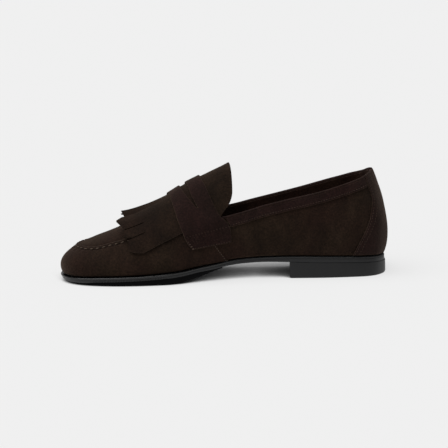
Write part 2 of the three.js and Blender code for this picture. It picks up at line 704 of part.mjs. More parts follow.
// A plate between levels, from the top face down. Each level gives its inset from the edge at a
// turn and its height at a length. outerShare slants an open end: it shortens the outer side.
function plateGeometry(turns, levels, outerShare = 1) {
  const places = [];
  const known = new Map();
  const faces = [];
  const corner = (level, turn, side) => {
    const { inset, height } = levels[level];
    const flat = insetPoint(side > 0 ? turn : turn * outerShare, side, inset(turn));
    const key = `${level}/${Math.round(flat.x * 2000)}/${Math.round(flat.y * 2000)}`;
    if (!known.has(key)) {
      known.set(key, places.length);
      places.push(new THREE.Vector3(flat.x, flat.y, height(flat.x / shoeLength)));
    }
    return known.get(key);
  };
  const quad = (a, b, c, d) => {
    const ring = [a, b, c, d].filter((v, i, all) => v !== all[(i + 1) % all.length]);
    if (new Set(ring).size > 2) faces.push(...triangles([ring]));
  };
  const grid = levels.map((_, level) => turns.map(turn => ({
    inner: corner(level, turn, 1),
    outer: corner(level, turn, -1),
  })));
  const last = turns.length - 1;
  const top = grid[0];
  const bottom = grid[levels.length - 1];
  for (let i = 0; i < last; i += 1) {
    quad(top[i].outer, top[i + 1].outer, top[i + 1].inner, top[i].inner);
    quad(bottom[i].inner, bottom[i + 1].inner, bottom[i + 1].outer, bottom[i].outer);
    for (let k = 0; k < levels.length - 1; k += 1) {
      quad(grid[k][i].inner, grid[k][i + 1].inner, grid[k + 1][i + 1].inner, grid[k + 1][i].inner);
      quad(grid[k][i + 1].outer, grid[k][i].outer, grid[k + 1][i].outer, grid[k + 1][i + 1].outer);
    }
  }
  for (let k = 0; k < levels.length - 1; k += 1) {
    quad(grid[k][0].outer, grid[k][0].inner, grid[k + 1][0].inner, grid[k + 1][0].outer);
    quad(grid[k][last].inner, grid[k][last].outer, grid[k + 1][last].outer, grid[k + 1][last].inner);
  }
  return geometryOf(places, faces);
}

// Midsole: smooth rim above, a step in below it, and upright ribs along the forefoot
function midsoleGeometry() {
  const ribTurns = evenly(
    ribsFrom,
    ribsTo,
    2 * Math.round((ribsTo - ribsFrom) * shoeLength / ribPitch),
  ).map(turnOf);
  const turns = [
    ...stations([{ from: 0, to: 0.1, parts: 6 }, { from: 0.1, to: ribsFrom, parts: 12 }]).slice(0, -1),
    ...ribTurns,
    ...stations([{ from: ribsTo, to: 1, parts: 8 }]).slice(1),
  ];
  const ribbed = turn => stepInset + (ribTurns.indexOf(turn) % 2 === 1 ? ribDepth : 0);
  return plateGeometry(turns, [
    { inset: turn => rimRound + rakeOf(turn), height: seatAt },
    { inset: rakeOf, height: at => seatAt(at) - rimRound },
    { inset: turn => 0.85 * rakeOf(turn), height: at => seatAt(at) - rimThickness },
    { inset: turn => ribbed(turn) + 0.75 * rakeOf(turn), height: at => seatAt(at) - rimThickness - stepInset / 2 },
    { inset: turn => ribbed(turn) + tuckOf(turn) + 0.5 * rakeOf(turn), height: at => seatAt(at) - bandAt(at) },
  ]);
}

// Outsole: the tread under the forefoot, set in from the edge and running out in the arch
function outsoleGeometry() {
  const turns = stations([
    { from: treadEnd, to: 0.7, parts: 8 },
    { from: 0.7, to: 0.9, parts: 6 },
    { from: 0.9, to: 1, parts: 8 },
  ]);
  return plateGeometry(turns, [
    { inset: turn => treadInset + tuckOf(turn), height: bandFoot },
    { inset: turn => treadInset + tuckOf(turn) + treadTaper, height: at => THREE.MathUtils.lerp(floorAt(at), bandFoot(at), 0.3) },
    { inset: turn => treadInset + tuckOf(turn) + treadTaper + treadRound, height: floorAt },
  ]);
}

// Heel: one block under the seat with a straight breast
function heelGeometry() {
  const turns = stations([
    { from: 0, to: 0.1, parts: 7 },
    { from: 0.1, to: heelLength / shoeLength, parts: 5 },
  ]);
  return plateGeometry(turns, [
    { inset: turn => heelInset + 0.3 * rakeOf(turn), height: bandFoot },
    { inset: () => heelInset + heelTaper, height: () => heelChamfer },
    { inset: () => heelInset + heelTaper + heelChamfer, height: () => 0 },
  ], turnOf(heelLengthOuter / shoeLength) / turnOf(heelLength / shoeLength));
}

// Insole: a board inside the upper's foot, following the seat
function insoleGeometry() {
  const turns = stations([
    { from: 0, to: 0.1, parts: 6 },
    { from: 0.1, to: 0.9, parts: 16 },
    { from: 0.9, to: 1, parts: 6 },
  ]);
  const inside = turn => plan.margin(stationOf(turn)) * seatHeight + upperWall + insoleClearance;
  const over = height => at => seatAt(at) + soleGap + height;
  return plateGeometry(turns, [
    { inset: turn => inside(turn) + insoleRound, height: over(insoleThickness) },
    { inset: inside, height: over(insoleThickness - insoleRound) },
    { inset: inside, height: over(0) },
  ]);
}

const suede = new THREE.MeshStandardMaterial({ color: 0x3a2a20, roughness: 0.95, metalness: 0 });
const redSuede = new THREE.MeshStandardMaterial({ color: 0x3b2622, roughness: 0.95, metalness: 0 });
const lining = new THREE.MeshStandardMaterial({ color: 0x2b1d15, roughness: 0.9, metalness: 0 });
const rubber = new THREE.MeshStandardMaterial({ color: 0x2a2a2b, roughness: 0.5, metalness: 0 });

const shoe = new THREE.Group();
const pieces = [
  { name: 'outsole', geometry: outsoleGeometry(), material: rubber },
  { name: 'midsole', geometry: midsoleGeometry(), material: rubber },
  { name: 'heel', geometry: heelGeometry(), material: rubber },
  { name: 'insole', geometry: insoleGeometry(), material: lining },
  { name: 'upper', geometry: upperGeometry(), material: suede },
  { name: 'tongue', geometry: tongueGeometry(), material: redSuede },
  { name: 'kiltie', geometry: kiltieGeometry(), material: suede },
  { name: 'saddle_strap', geometry: strapGeometry(), material: redSuede },
  { name: 'collar_binding_inner', geometry: bindingGeometry(1), material: redSuede },
  { name: 'collar_binding_outer', geometry: bindingGeometry(-1), material: redSuede },
  { name: 'heel_patch', geometry: counterGeometry(), material: redSuede },
];
pieces.forEach(({ name, geometry, material }) => {
  const mesh = new THREE.Mesh(geometry, material);
  mesh.name = name;
  shoe.add(mesh);
});

// Origin: on the floor, under the middle of the shoe's box
const box = new THREE.Box3().setFromObject(shoe);
const middle = box.getCenter(new THREE.Vector3());
shoe.position.set(-middle.x, -middle.y, -box.min.z);

export default shoe;
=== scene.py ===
"""Dark brown suede kiltie loafer, a right shoe, on a pale studio floor.

Lengths in the tables are in millimetres or in shares of the shoe's own sizes. X runs from the
back of the heel to the toe, Y to the inner side, Z up.
"""
import math

import bmesh
import bpy
import numpy as np
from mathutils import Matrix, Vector


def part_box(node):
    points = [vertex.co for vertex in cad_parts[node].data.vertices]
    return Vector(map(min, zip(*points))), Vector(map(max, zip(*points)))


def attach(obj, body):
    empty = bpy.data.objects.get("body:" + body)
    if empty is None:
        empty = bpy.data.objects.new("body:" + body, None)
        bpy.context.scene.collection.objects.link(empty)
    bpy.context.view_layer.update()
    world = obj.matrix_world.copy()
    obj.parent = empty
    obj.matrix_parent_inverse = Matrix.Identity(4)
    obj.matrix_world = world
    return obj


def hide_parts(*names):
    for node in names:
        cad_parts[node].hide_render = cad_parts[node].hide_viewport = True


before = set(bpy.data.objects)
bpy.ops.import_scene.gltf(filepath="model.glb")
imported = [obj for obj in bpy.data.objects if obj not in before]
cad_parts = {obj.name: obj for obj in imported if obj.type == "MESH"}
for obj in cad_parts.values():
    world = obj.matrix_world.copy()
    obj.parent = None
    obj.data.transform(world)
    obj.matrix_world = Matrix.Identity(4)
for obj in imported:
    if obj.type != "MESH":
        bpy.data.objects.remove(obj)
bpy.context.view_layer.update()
scene = bpy.context.scene

MM = 0.001
LENGTH = 290.0
BALL = 101.0
SEAT = 20.0
INSTEP = 83.0
COLLAR = 90.0

COVER_GAP = 0.32
END_GAP = 0.6
TONGUE = 1.2
KILTIE = 1.3
STRAP = 1.3
BINDING = 1.1
BINDING_DEPTH = 10.0
PATCH = 1.1
PATCH_GAP = 0.45
SOLE_GAP = 0.3
FRINGE_REACH = 49.0
UPPER_THICK = 2.0
UPPER_TURN = 1.6
SIDES = ((1, "inner"), (-1, "outer"))


def table(names, rows):
    """Named columns from rows of numbers"""
    data = np.array([[float(v) for v in line.split()] for line in rows.strip().splitlines()])
    return {name: data[:, i] for i, name in enumerate(names.split())}


def curve(x, y, spread=lambda v: v):
    """A smooth curve through points that never swings past them"""
    x = spread(np.asarray(x, float))
    y = np.asarray(y, float)
    rate = np.diff(y) / np.diff(x)
    slope = np.concatenate([rate[:1], np.zeros(len(x) - 2), rate[-1:]])
    before, after = np.diff(x)[:-1], np.diff(x)[1:]
    mean = (rate[:-1] * after + rate[1:] * before) / (before + after)
    least = np.minimum(np.minimum(abs(rate[:-1]), abs(rate[1:])), 0.5 * abs(mean))
    slope[1:-1] = (np.sign(rate[:-1]) + np.sign(rate[1:])) * least

    def at(place):
        p = np.clip(spread(np.asarray(place, float)), x[0], x[-1])
        i = np.clip(np.searchsorted(x, p, side="left") - 1, 0, len(x) - 2)
        width = x[i + 1] - x[i]
        s = (p - x[i]) / width
        r = 1 - s
        return (y[i] * r * r * (1 + 2 * s) + y[i + 1] * s * s * (3 - 2 * s)
                + width * (slope[i] * s * r * r - slope[i + 1] * s * s * r))

    return at


def turn_of(at):
    """Turn round the last, 0 at the heel and 1 at the toe, for a share of its length"""
    return np.arccos(1 - 2 * np.clip(at, 0, 1)) / math.pi


def station(turn):
    """Share of the length for a turn round the last"""
    return (1 - np.cos(math.pi * turn)) / 2


def soft_step(v, low, high):
    """0 up to low, 1 from high on, and smooth between"""
    s = np.clip((v - low) / (high - low), 0, 1)
    return s * s * (3 - 2 * s)


OUTLINE = table("at inner outer seat margin band tuck rake floor", """
0.000 0.000  0.000 0.810 0.205 0.275 0.000 0.105 0.000
0.020 0.176 -0.176 0.850 0.185 0.280 0.000 0.095 0.000
0.052 0.268 -0.268 0.890 0.130 0.285 0.000 0.070 0.000
0.110 0.312 -0.314 0.925 0.072 0.290 0.000 0.030 0.000
0.190 0.316 -0.322 0.960 0.050 0.290 0.000 0.000 0.720
0.320 0.283 -0.314 0.990 0.045 0.270 0.000 0.000 0.720
0.415 0.256 -0.330 0.960 0.045 0.230 0.000 0.000 0.720
0.500 0.280 -0.393 0.880 0.060 0.225 0.000 0.000 0.590
0.550 0.322 -0.440 0.775 0.080 0.225 0.000 0.000 0.430
0.600 0.366 -0.492 0.695 0.100 0.225 0.000 0.000 0.210
0.655 0.420 -0.536 0.585 0.110 0.225 0.000 0.000 0.050
0.705 0.446 -0.546 0.525 0.115 0.225 0.000 0.000 0.000
0.760 0.450 -0.530 0.480 0.115 0.225 0.000 0.000 0.000
0.830 0.437 -0.472 0.440 0.115 0.225 0.000 0.000 0.000
0.895 0.396 -0.390 0.410 0.110 0.230 0.010 0.000 0.000
0.950 0.326 -0.264 0.370 0.100 0.255 0.050 0.000 0.020
0.982 0.234 -0.140 0.350 0.090 0.260 0.090 0.000 0.035
1.000 0.058  0.058 0.345 0.085 0.260 0.125 0.000 0.045
""")
PLAN = {name: curve(OUTLINE["at"], OUTLINE[name], turn_of) for name in OUTLINE if name != "at"}

SECTIONS = table("at crest_at lean crest belly rise shoulder drop", """
0.00 0.124 0.000 1.540 0.088 0.166 1.03 0.52
0.10 0.172 0.000 1.535 0.078 0.262 0.98 0.44
0.20 0.220 0.000 1.515 0.088 0.315 0.92 0.34
0.30 0.303 0.000 1.450 0.095 0.325 0.88 0.24
0.40 0.400 0.000 1.325 0.094 0.310 0.82 0.12
0.50 0.500 0.000 1.153 0.080 0.290 0.74 0.00
0.55 0.550 0.000 1.073 0.070 0.265 0.70 0.00
0.60 0.600 0.000 0.990 0.060 0.240 0.66 0.00
0.70 0.698 0.008 0.790 0.046 0.205 0.62 0.00
0.80 0.788 0.022 0.594 0.036 0.170 0.66 0.00
0.87 0.840 0.034 0.512 0.036 0.150 0.72 0.00
0.93 0.873 0.040 0.471 0.042 0.140 0.78 0.00
0.97 0.892 0.044 0.450 0.055 0.145 0.79 0.00
1.00 0.903 0.046 0.437 0.068 0.158 0.76 0.00
""")
SECTION = {name: curve(SECTIONS["at"], SECTIONS[name], turn_of) for name in SECTIONS if name != "at"}

TOP_LINE = table("at inner outer", """
0.000 1.012 1.012
0.050 1.008 1.018
0.063 0.996 0.985
0.105 0.950 0.930
0.165 0.893 0.873
0.242 0.829 0.804
0.318 0.777 0.745
0.394 0.719 0.687
0.470 0.652 0.624
0.527 0.619 0.592
0.540 0.665 0.639
0.563 0.868 0.852
0.583 0.985 0.969
0.600 1.500 1.500
""")
TOP_INNER = curve(TOP_LINE["at"], TOP_LINE["inner"])
TOP_OUTER = curve(TOP_LINE["at"], TOP_LINE["outer"])

TOE_SEAM = table("at height show", """
0.00 0.560 0
0.30 0.530 0
0.50 0.470 0
0.60 0.540 0
0.70 0.520 0
0.75 0.485 0
0.80 0.466 1
0.83 0.439 1
0.86 0.412 1
0.89 0.386 1
0.92 0.372 1
1.00 0.367 1
""")
SEAM_HEIGHT = curve(TOE_SEAM["at"], TOE_SEAM["height"])
SEAM_SHOW = curve(TOE_SEAM["at"], TOE_SEAM["show"])

# Saddle strap: edges at each share of its reach down from the crest
STRAP_REACH, STRAP_REACH_BACK = 67.0, 73.5
STRAP_EDGES = table("down front back", """
0.00 0.6675 0.5735
0.07 0.6673 0.5732
0.25 0.6655 0.5640
0.50 0.6585 0.5462
0.65 0.6510 0.5295
0.75 0.6446 0.5088
0.88 0.6326 0.4980
1.00 0.6162 0.4974
""")
STRAP_FRONT = curve(STRAP_EDGES["down"], STRAP_EDGES["front"])
STRAP_BACK = curve(STRAP_EDGES["down"], STRAP_EDGES["back"])
SLOT_CENTRE, SLOT_SWEEP, SLOT_WIDTH, SLOT_TIP, SLOT_REACH = 0.624, 0.028, 6.0, 0.8, 0.47
SLOT_TAPER, SLOT_SWEEP_POWER, SLOT_PAST_SWEEP = 1.4, 2.1, 0.035
SLOT_COLUMN, COLUMNS_PAST_SLOT = 14, 22
STRAP_SETTLE = 8.0
HEM_DOWN, WHIP_TOP, WHIPS = 0.935, 0.805, 15

# Fringe strips from the middle outwards
CURL_FROM, CURL_TO, CURL_POWER, MIDDLE_HANG = 0.665, 0.792, 1.35, 1.3
SLIT, KILTIE_FROM, SLIT_ROOT, OUTER_SHORT = 0.9, 0.588, 0.750, 0.022
FRINGE = table("near far high tip low peak round", """
-0.14 0.14 0.795 0.797 0.795 0.5 1.5
 0.14 0.46 0.802 0.819 0.801 0.3 1.1
 0.46 0.66 0.804 0.809 0.783 0.5 1.5
 0.66 1.00 0.794 0.795 0.758 0.5 1.5
""")
FRINGE_STAND = table("down stand", """
 0.0 10.7
 7.0  7.4
15.0  6.9
22.5  4.7
32.0  3.0
49.0  1.2
""")
STAND = curve(FRINGE_STAND["down"], FRINGE_STAND["stand"])

TONGUE_REACH, TONGUE_FRONT = 50.0, 0.582
TONGUE_EDGE = table("across back", """
0.00 0.4855
0.60 0.4885
0.80 0.5000
0.92 0.5225
1.00 0.5335
""")
TONGUE_BACK = curve(TONGUE_EDGE["across"], TONGUE_EDGE["back"])

PATCH_EDGE = table("height front", """
0.17 0.142
0.24 0.125
0.34 0.109
0.44 0.093
0.53 0.080
0.64 0.071
0.74 0.067
0.80 0.071
0.90 0.080
1.02 0.090
""")
PATCH_FRONT = curve(PATCH_EDGE["height"], PATCH_EDGE["front"])

# The vamp's back edge, from the sole up to the strap
LAP = table("z length", """
12.0 144.8
16.0 146.8
20.8 149.6
24.7 152.5
31.3 157.4
36.0 160.5
""")
LAP_LINE = curve(LAP["z"], LAP["length"])

HEEL_LENGTH, HEEL_LENGTH_OUTER, HEEL_CORNER = 92.5, 81.0, 2.4

# The frame's origin lies under the middle of the shoe's box, and the sole ends at the toe's length
sole_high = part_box("midsole")[1]
OFFSET = np.array([sole_high.x / MM - LENGTH, sole_high.y / MM - OUTLINE["inner"].max() * BALL, 0.0])


# The last's skin. u goes round it: 0 at the heel, 1 and -1 at the toe, plus on the inner side.
# t goes up a rib, from 0 at the foot of the upper to 1 at the crest.
def wrapped(u):
    """u brought back to between -1 and 1"""
    return (np.asarray(u, float) + 1) % 2 - 1


def unit(v):
    """Directions of length one"""
    return v / np.maximum(np.linalg.norm(v, axis=-1, keepdims=True), 1e-12)


def edge(u):
    """Place on the edge of the sole, seen from above"""
    u = wrapped(u)
    at = station(abs(u))
    width = np.where(u < 0, PLAN["outer"](at), PLAN["inner"](at)) * BALL
    return np.stack([at * LENGTH, width], -1)


def inset_edge(u, inset):
    """The edge of the sole moved inwards by an inset"""
    along = unit(edge(u + 0.004) - edge(u - 0.004))
    inwards = np.stack([along[..., 1], -along[..., 0]], -1)
    return edge(u) + inwards * np.broadcast_to(inset, np.shape(u))[..., None]


def crest_point(at):
    """Place on the crest line that the ribs run up to"""
    return np.stack([
        SECTION["crest_at"](at) * LENGTH, SECTION["lean"](at) * BALL, SECTION["crest"](at) * INSTEP,
    ], -1)


def rib_points(u):
    """The four control points of each rib, from the foot of the upper to the crest"""
    at = station(abs(wrapped(u)))
    flat = inset_edge(u, PLAN["margin"](at) * SEAT)
    foot = np.concatenate([flat, (PLAN["seat"](flat[..., :1] / LENGTH) * SEAT + SOLE_GAP)], -1)
    crest = crest_point(at)
    ahead, behind = crest_point(np.minimum(at + 0.01, 1)), crest_point(np.maximum(at - 0.01, 0))
    slope = np.where(at < 0.5, 0, (ahead - behind)[..., 2] / (ahead - behind)[..., 0])
    out = foot - crest
    out[..., 2] = 0
    knee = foot + unit(out) * (SECTION["belly"](at) * BALL)[..., None]
    knee[..., 2] += SECTION["rise"](at) * INSTEP
    spread = out * SECTION["shoulder"](at)[..., None]
    brow = crest + spread
    brow[..., 2] += slope * spread[..., 0] - SECTION["drop"](at) * INSTEP
    return np.stack([foot, knee, brow, crest], -2)


# Ribs are worked out once, close together, and read off between
ROUND = np.linspace(-1, 1, 8001)
RIBS = rib_points(ROUND)


def ribs(u):
    """The control points of the rib at u"""
    s = (wrapped(u) + 1) * (len(ROUND) - 1) / 2
    i = np.clip(s.astype(int), 0, len(ROUND) - 2)
    f = (s - i)[..., None, None]
    return RIBS[i] * (1 - f) + RIBS[i + 1] * f


def along_rib(points, t):
    """Place on a rib's curve"""
    t = np.asarray(t, float)[..., None]
    r = 1 - t
    return (points[..., 0, :] * r ** 3 + 3 * points[..., 1, :] * r * r * t
            + 3 * points[..., 2, :] * r * t * t + points[..., 3, :] * t ** 3)


def skin(u, t):
    """Place on the last: t from the foot of the upper, 0, to the crest, 1"""
    return along_rib(ribs(u), t)


def skin_normal(u, t):
    """Direction straight out of the skin"""
    t = np.clip(t, 0.004, 0.992)
    own = ribs(u)
    up = along_rib(own, t + 0.004) - along_rib(own, t - 0.004)
    along = skin(u + 0.002, t) - skin(u - 0.002, t)
    return unit(np.cross(up, along))


def halved(test, low, high, count=24):
    """Where a test turns from false to true between two places, by halving"""
    for _ in range(count):
        middle = (low + high) / 2
        hit = test(middle)
        low, high = np.where(hit, low, middle), np.where(hit, middle, high)
    return (low + high) / 2


def first_place(u, test):
    """First t up each rib where a test turns true, or the crest"""
    count = 60
    steps = np.arange(1, count + 1) / count
    own = ribs(u)
    hit = test(u[:, None], along_rib(own[:, None], np.broadcast_to(steps, (len(u), count))))
    high = steps[hit.argmax(1)]
    found = halved(lambda t: test(u, along_rib(own, t)), high - 1 / count, high)
    return np.where(hit.any(1), found, 1.0)


def over_top_line(u, p):
    """Whether a place is at or over the top line"""
    share = p[..., 0] / LENGTH
    line = np.where(wrapped(u) < 0, TOP_OUTER(share), TOP_INNER(share))
    return p[..., 2] >= line * COLLAR


COLLAR_T = first_place(ROUND, over_top_line)


def collar_t(u):
    """t of the top line"""
    return np.interp(wrapped(u), ROUND, COLLAR_T)


def height_t(u, z):
    """t at which a rib comes up to a height"""
    own = ribs(u)
    return halved(lambda t: along_rib(own, t)[..., 2] >= z, np.zeros(np.shape(u)), np.ones(np.shape(u)))


crest_ats = np.linspace(0, 1, 6001)
crest_places = SECTION["crest_at"](station(crest_ats))


def from_crest(at, down):
    """(u, t) at a length and a distance down from the crest, minus on the outer side"""
    at, down = np.broadcast_arrays(np.asarray(at, float), np.asarray(down, float))
    u = np.interp(at, crest_places, crest_ats) * np.where(down < 0, -1, 1)
    count = 100
    steps = np.linspace(1, 0, count + 1)
    path = along_rib(ribs(u)[..., None, :, :], np.broadcast_to(steps, u.shape + steps.shape))
    walk = np.cumsum(np.linalg.norm(np.diff(path, axis=-2), axis=-1), -1)
    walk = np.concatenate([np.zeros(u.shape + (1,)), walk], -1)
    goal = abs(down)[..., None]
    i = np.clip((walk < goal).sum(-1) - 1, 0, count - 1)[..., None]
    near, far = np.take_along_axis(walk, i, -1), np.take_along_axis(walk, i + 1, -1)
    share = np.clip((goal - near) / (far - near), 0, 1)
    return u, 1 - ((i + share) / count)[..., 0]


def below_top(u, depth):
    """t at a distance below the top line"""
    top = collar_t(u)
    pace = np.linalg.norm(skin(u, top) - skin(u, top - 0.02), axis=-1) / 0.02
    return top - depth / pace


def place(u, t, lift):
    """Place at a distance off the skin"""
    return skin(u, t) + skin_normal(u, t) * np.asarray(lift, float)[..., None]


def spans(*parts):
    """Turns from (from, to, count) spans, cut evenly"""
    turns = [np.array([turn_of(parts[0][0])])]
    for low, high, count in parts:
        turns.append(np.linspace(turn_of(low), turn_of(high), count + 1)[1:])
    return np.concatenate(turns)


# Meshes
def grid_faces(rows, columns, keep=None):
    """Four-cornered faces between the rows and columns of a net"""
    i, k = np.meshgrid(np.arange(rows - 1), np.arange(columns - 1), indexing="ij")
    if keep is not None:
        i, k = i[keep], k[keep]
    a = i * columns + k
    return np.stack([a, a + 1, a + columns + 1, a + columns], -1).reshape(-1, 4)


def slab(outer, inner, keep=None):
    """A closed body between two nets with the same rows and columns"""
    rows, columns = outer.shape[:2]
    count = rows * columns
    top = grid_faces(rows, columns, keep)
    sides = np.concatenate([top[:, [j, (j + 1) % 4]] for j in range(4)])
    ahead, back = sides[:, 0] * count + sides[:, 1], sides[:, 1] * count + sides[:, 0]
    rim = sides[~np.isin(ahead, back)]
    wall = np.stack([rim[:, 1], rim[:, 0], rim[:, 0] + count, rim[:, 1] + count], -1)
    faces = np.concatenate([top, top[:, ::-1] + count, wall])
    return np.concatenate([outer.reshape(-1, 3), inner.reshape(-1, 3)]), faces.tolist()


def sheet(u, t, lift, thickness, keep=None):
    """A sheet of suede that lies on the skin"""
    p, n = skin(u, t), skin_normal(u, t)
    lift = np.broadcast_to(lift, u.shape)[..., None]
    return slab(p + n * (lift + np.broadcast_to(thickness, u.shape)[..., None]), p + n * lift, keep)


def make(name, places, faces, material, slot, replaces=(), closed=True, crease=35.0):
    """A mesh object from places in millimetres, riding on the shoe"""
    mesh = bpy.data.meshes.new(name)
    mesh.from_pydata(((places + OFFSET) * MM).tolist(), [], faces)
    bm = bmesh.new()
    bm.from_mesh(mesh)
    bmesh.ops.remove_doubles(bm, verts=bm.verts, dist=2e-6)
    bmesh.ops.dissolve_degenerate(bm, edges=bm.edges, dist=1e-7)
    bmesh.ops.delete(bm, geom=[v for v in bm.verts if not v.link_faces], context="VERTS")
    if closed:
        bmesh.ops.recalc_face_normals(bm, faces=bm.faces)
    bm.to_mesh(mesh)
    bm.free()
    mesh.shade_smooth()
    mesh.set_sharp_from_angle(angle=math.radians(crease))
    mesh.materials.append(material)
    obj = bpy.data.objects.new(name, mesh)
    scene.collection.objects.link(obj)
    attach(obj, "root")
    if replaces:
        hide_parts(*replaces)
    return obj


def round_edges(obj, width, material=None, segments=3, angle=40.0):
    """Rounds a cut edge, and shows the paler cut where a material is given"""
    bevel = obj.modifiers.new("rounded_edge", "BEVEL")
    bevel.width = width * MM
    bevel.segments = segments
    bevel.limit_method = "ANGLE"
    bevel.angle_limit = math.radians(angle)
    if material:
        obj.data.materials.append(material)
        bevel.material = 1


# Materials
def linear(code):
    """sRGB hex to linear RGBA"""
    values = [int(code[i:i + 2], 16) / 255 for i in (1, 3, 5)]
    return [v / 12.92 if v <= 0.04045 else ((v + 0.055) / 1.055) ** 2.4 for v in values] + [1.0]


def join(tree, source, socket):
    """Links an output, or a node's first output, to a socket"""
    tree.links.new(source if isinstance(source, bpy.types.NodeSocket) else source.outputs[0], socket)


def node(tree, kind, settings=None, links=None):
    """Adds a node with its settings, colour stops and links"""
    made = tree.nodes.new("ShaderNode" + kind)
    for key, value in (settings or {}).items():
        if key == "stops":
            for index, (position, tone) in enumerate(value):
                stops = made.color_ramp.elements
                stop = stops[index] if index < 2 else stops.new(1.0)
                stop.position = position
                stop.color = linear(tone) if isinstance(tone, str) else (tone, tone, tone, 1)
        elif isinstance(key, int) or key in made.inputs:
            made.inputs[key].default_value = value
        else:
            setattr(made, key, value)
    for key, source in (links or {}).items():
        join(tree, source, made.inputs[key])
    return made


def start(name):
    """A new material, its tree, its shader and the object's own coordinates"""
    material = bpy.data.materials.new(name)
    material.use_nodes = True
    tree = material.node_tree
    return material, tree, tree.nodes["Principled BSDF"], node(tree, "TexCoord").outputs["Object"]


def finish_shader(tree, shader, values, links):
    """Settings and links of the shader's own sockets"""
    for key, value in values.items():
        shader.inputs[key].default_value = value
    for key, source in links.items():
        join(tree, source, shader.inputs[key])


def suede(name, deep, mid, lit, warm, nap=1.0):
    """Calf split with a brushed nap: dull, a fuzzy light edge, darker and lighter where it lies over"""
    material, tree, shader, where = start(name)
    brushed = node(tree, "Mapping",
                   {"Scale": (1.0, 1.0, 0.55), "Rotation": (0, math.radians(18), 0)}, {"Vector": where})
    # nap strokes of 10 to 20 mm, hide tone over 40 mm, fibres drawn at 1.5 and 0.5 mm to show at all
    strokes = node(tree, "TexNoise", {"Scale": 62.0, "Detail": 3.0, "Roughness": 0.55, "Distortion": 0.4},
                   {"Vector": brushed})
    hide = node(tree, "TexNoise", {"Scale": 24.0, "Detail": 2.0}, {"Vector": where})
    grain = node(tree, "TexNoise", {"Scale": 640.0, "Detail": 3.0, "Roughness": 0.62}, {"Vector": where})
    fluff = node(tree, "TexNoise", {"Scale": 1900.0, "Detail": 2.0, "Roughness": 0.6}, {"Vector": where})
    tone = node(tree, "ValToRGB", {"stops": [(0.26, deep), (0.52, mid), (0.80, lit)]}, {"Fac": strokes})
    warmth = node(tree, "ValToRGB", {"stops": [(0.42, 0.0), (0.66, 0.6)]}, {"Fac": hide})
    tinted = node(tree, "Mix", {"data_type": "RGBA", 7: linear(warm)}, {0: warmth, 6: tone})
    speck = node(tree, "ValToRGB", {"stops": [(0.34, 0.58), (0.5, 1.0), (0.68, 1.5)]}, {"Fac": grain})
    speckled = node(tree, "Mix", {"data_type": "RGBA", "blend_type": "MULTIPLY", 0: 0.85},
                    {6: tinted.outputs[2], 7: speck})
    coarse = node(tree, "Bump", {"Strength": 0.6 * nap, "Distance": 0.0006}, {"Height": grain})
    fine = node(tree, "Bump", {"Strength": 0.5 * nap, "Distance": 0.00025},
                {"Height": fluff, "Normal": coarse})
    finish_shader(tree, shader, {
        "Roughness": 0.95, "IOR": 1.45, "Specular IOR Level": 0.1, "Sheen Weight": 0.22,
        "Sheen Roughness": 0.45, "Sheen Tint": linear("#b09a88"),
    }, {"Base Color": speckled.outputs[2], "Normal": fine})
    return material


def rubber(name, dark, pale, rough, shine, grit=0.25, rubbed_rough=None):
    """Moulded rubber, near black, with a faint grit, rubbed smoother from the waist to the toe if asked"""
    material, tree, shader, where = start(name)
    cloud = node(tree, "TexNoise", {"Scale": 48.0, "Detail": 3.0}, {"Vector": where})
    grain = node(tree, "TexNoise", {"Scale": 2300.0, "Detail": 2.0}, {"Vector": where})
    tone = node(tree, "ValToRGB", {"stops": [(0.35, dark), (0.7, pale)]}, {"Fac": cloud})
    gloss = node(tree, "ValToRGB", {"stops": [(0.3, rough), (0.75, rough + 0.1)]}, {"Fac": cloud})
    bump = node(tree, "Bump", {"Strength": grit, "Distance": 0.00012}, {"Height": grain})
    if rubbed_rough:
        along = node(tree, "SeparateXYZ", None, {"Vector": where})
        rubbed = node(tree, "MapRange", {"From Min": -0.012, "From Max": 0.03}, {"Value": along})
        gloss = node(tree, "Mix", {3: rubbed_rough}, {0: rubbed, 2: gloss})
    finish_shader(tree, shader, {"IOR": 1.5, "Specular IOR Level": shine}, {
        "Base Color": tone, "Roughness": gloss, "Normal": bump,
    })
    return material


def leather(name, deep, worn, rough):
    """Smooth lining leather: soft gloss, fine pores, paler where the foot rubs"""
    material, tree, shader, where = start(name)
    cloud = node(tree, "TexNoise", {"Scale": 32.0, "Detail": 4.0}, {"Vector": where})
    pores = node(tree, "TexVoronoi", {"Scale": 1100.0}, {"Vector": where})
    tone = node(tree, "ValToRGB", {"stops": [(0.36, deep), (0.7, worn)]}, {"Fac": cloud})
    gloss = node(tree, "ValToRGB", {"stops": [(0.3, rough + 0.1), (0.75, rough - 0.08)]}, {"Fac": cloud})
    bump = node(tree, "Bump", {"Strength": 0.35, "Distance": 0.00015}, {"Height": pores})
    finish_shader(tree, shader, {"IOR": 1.48, "Specular IOR Level": 0.35}, {
        "Base Color": tone, "Roughness": gloss, "Normal": bump,
    })
    return material


def thread(name, deep, pale):
    """Waxed polyester thread: a touch paler than the suede, dulled by its twist and by dust"""
    material, tree, shader, where = start(name)
    twist = node(tree, "TexNoise", {"Scale": 1500.0, "Detail": 2.0}, {"Vector": where})
    tone = node(tree, "ValToRGB", {"stops": [(0.3, deep), (0.7, pale)]}, {"Fac": twist})
    bump = node(tree, "Bump", {"Strength": 0.4, "Distance": 0.0001}, {"Height": twist})
    finish_shader(tree, shader, {"Roughness": 0.85, "Specular IOR Level": 0.1}, {
        "Base Color": tone, "Normal": bump,
    })
    return material


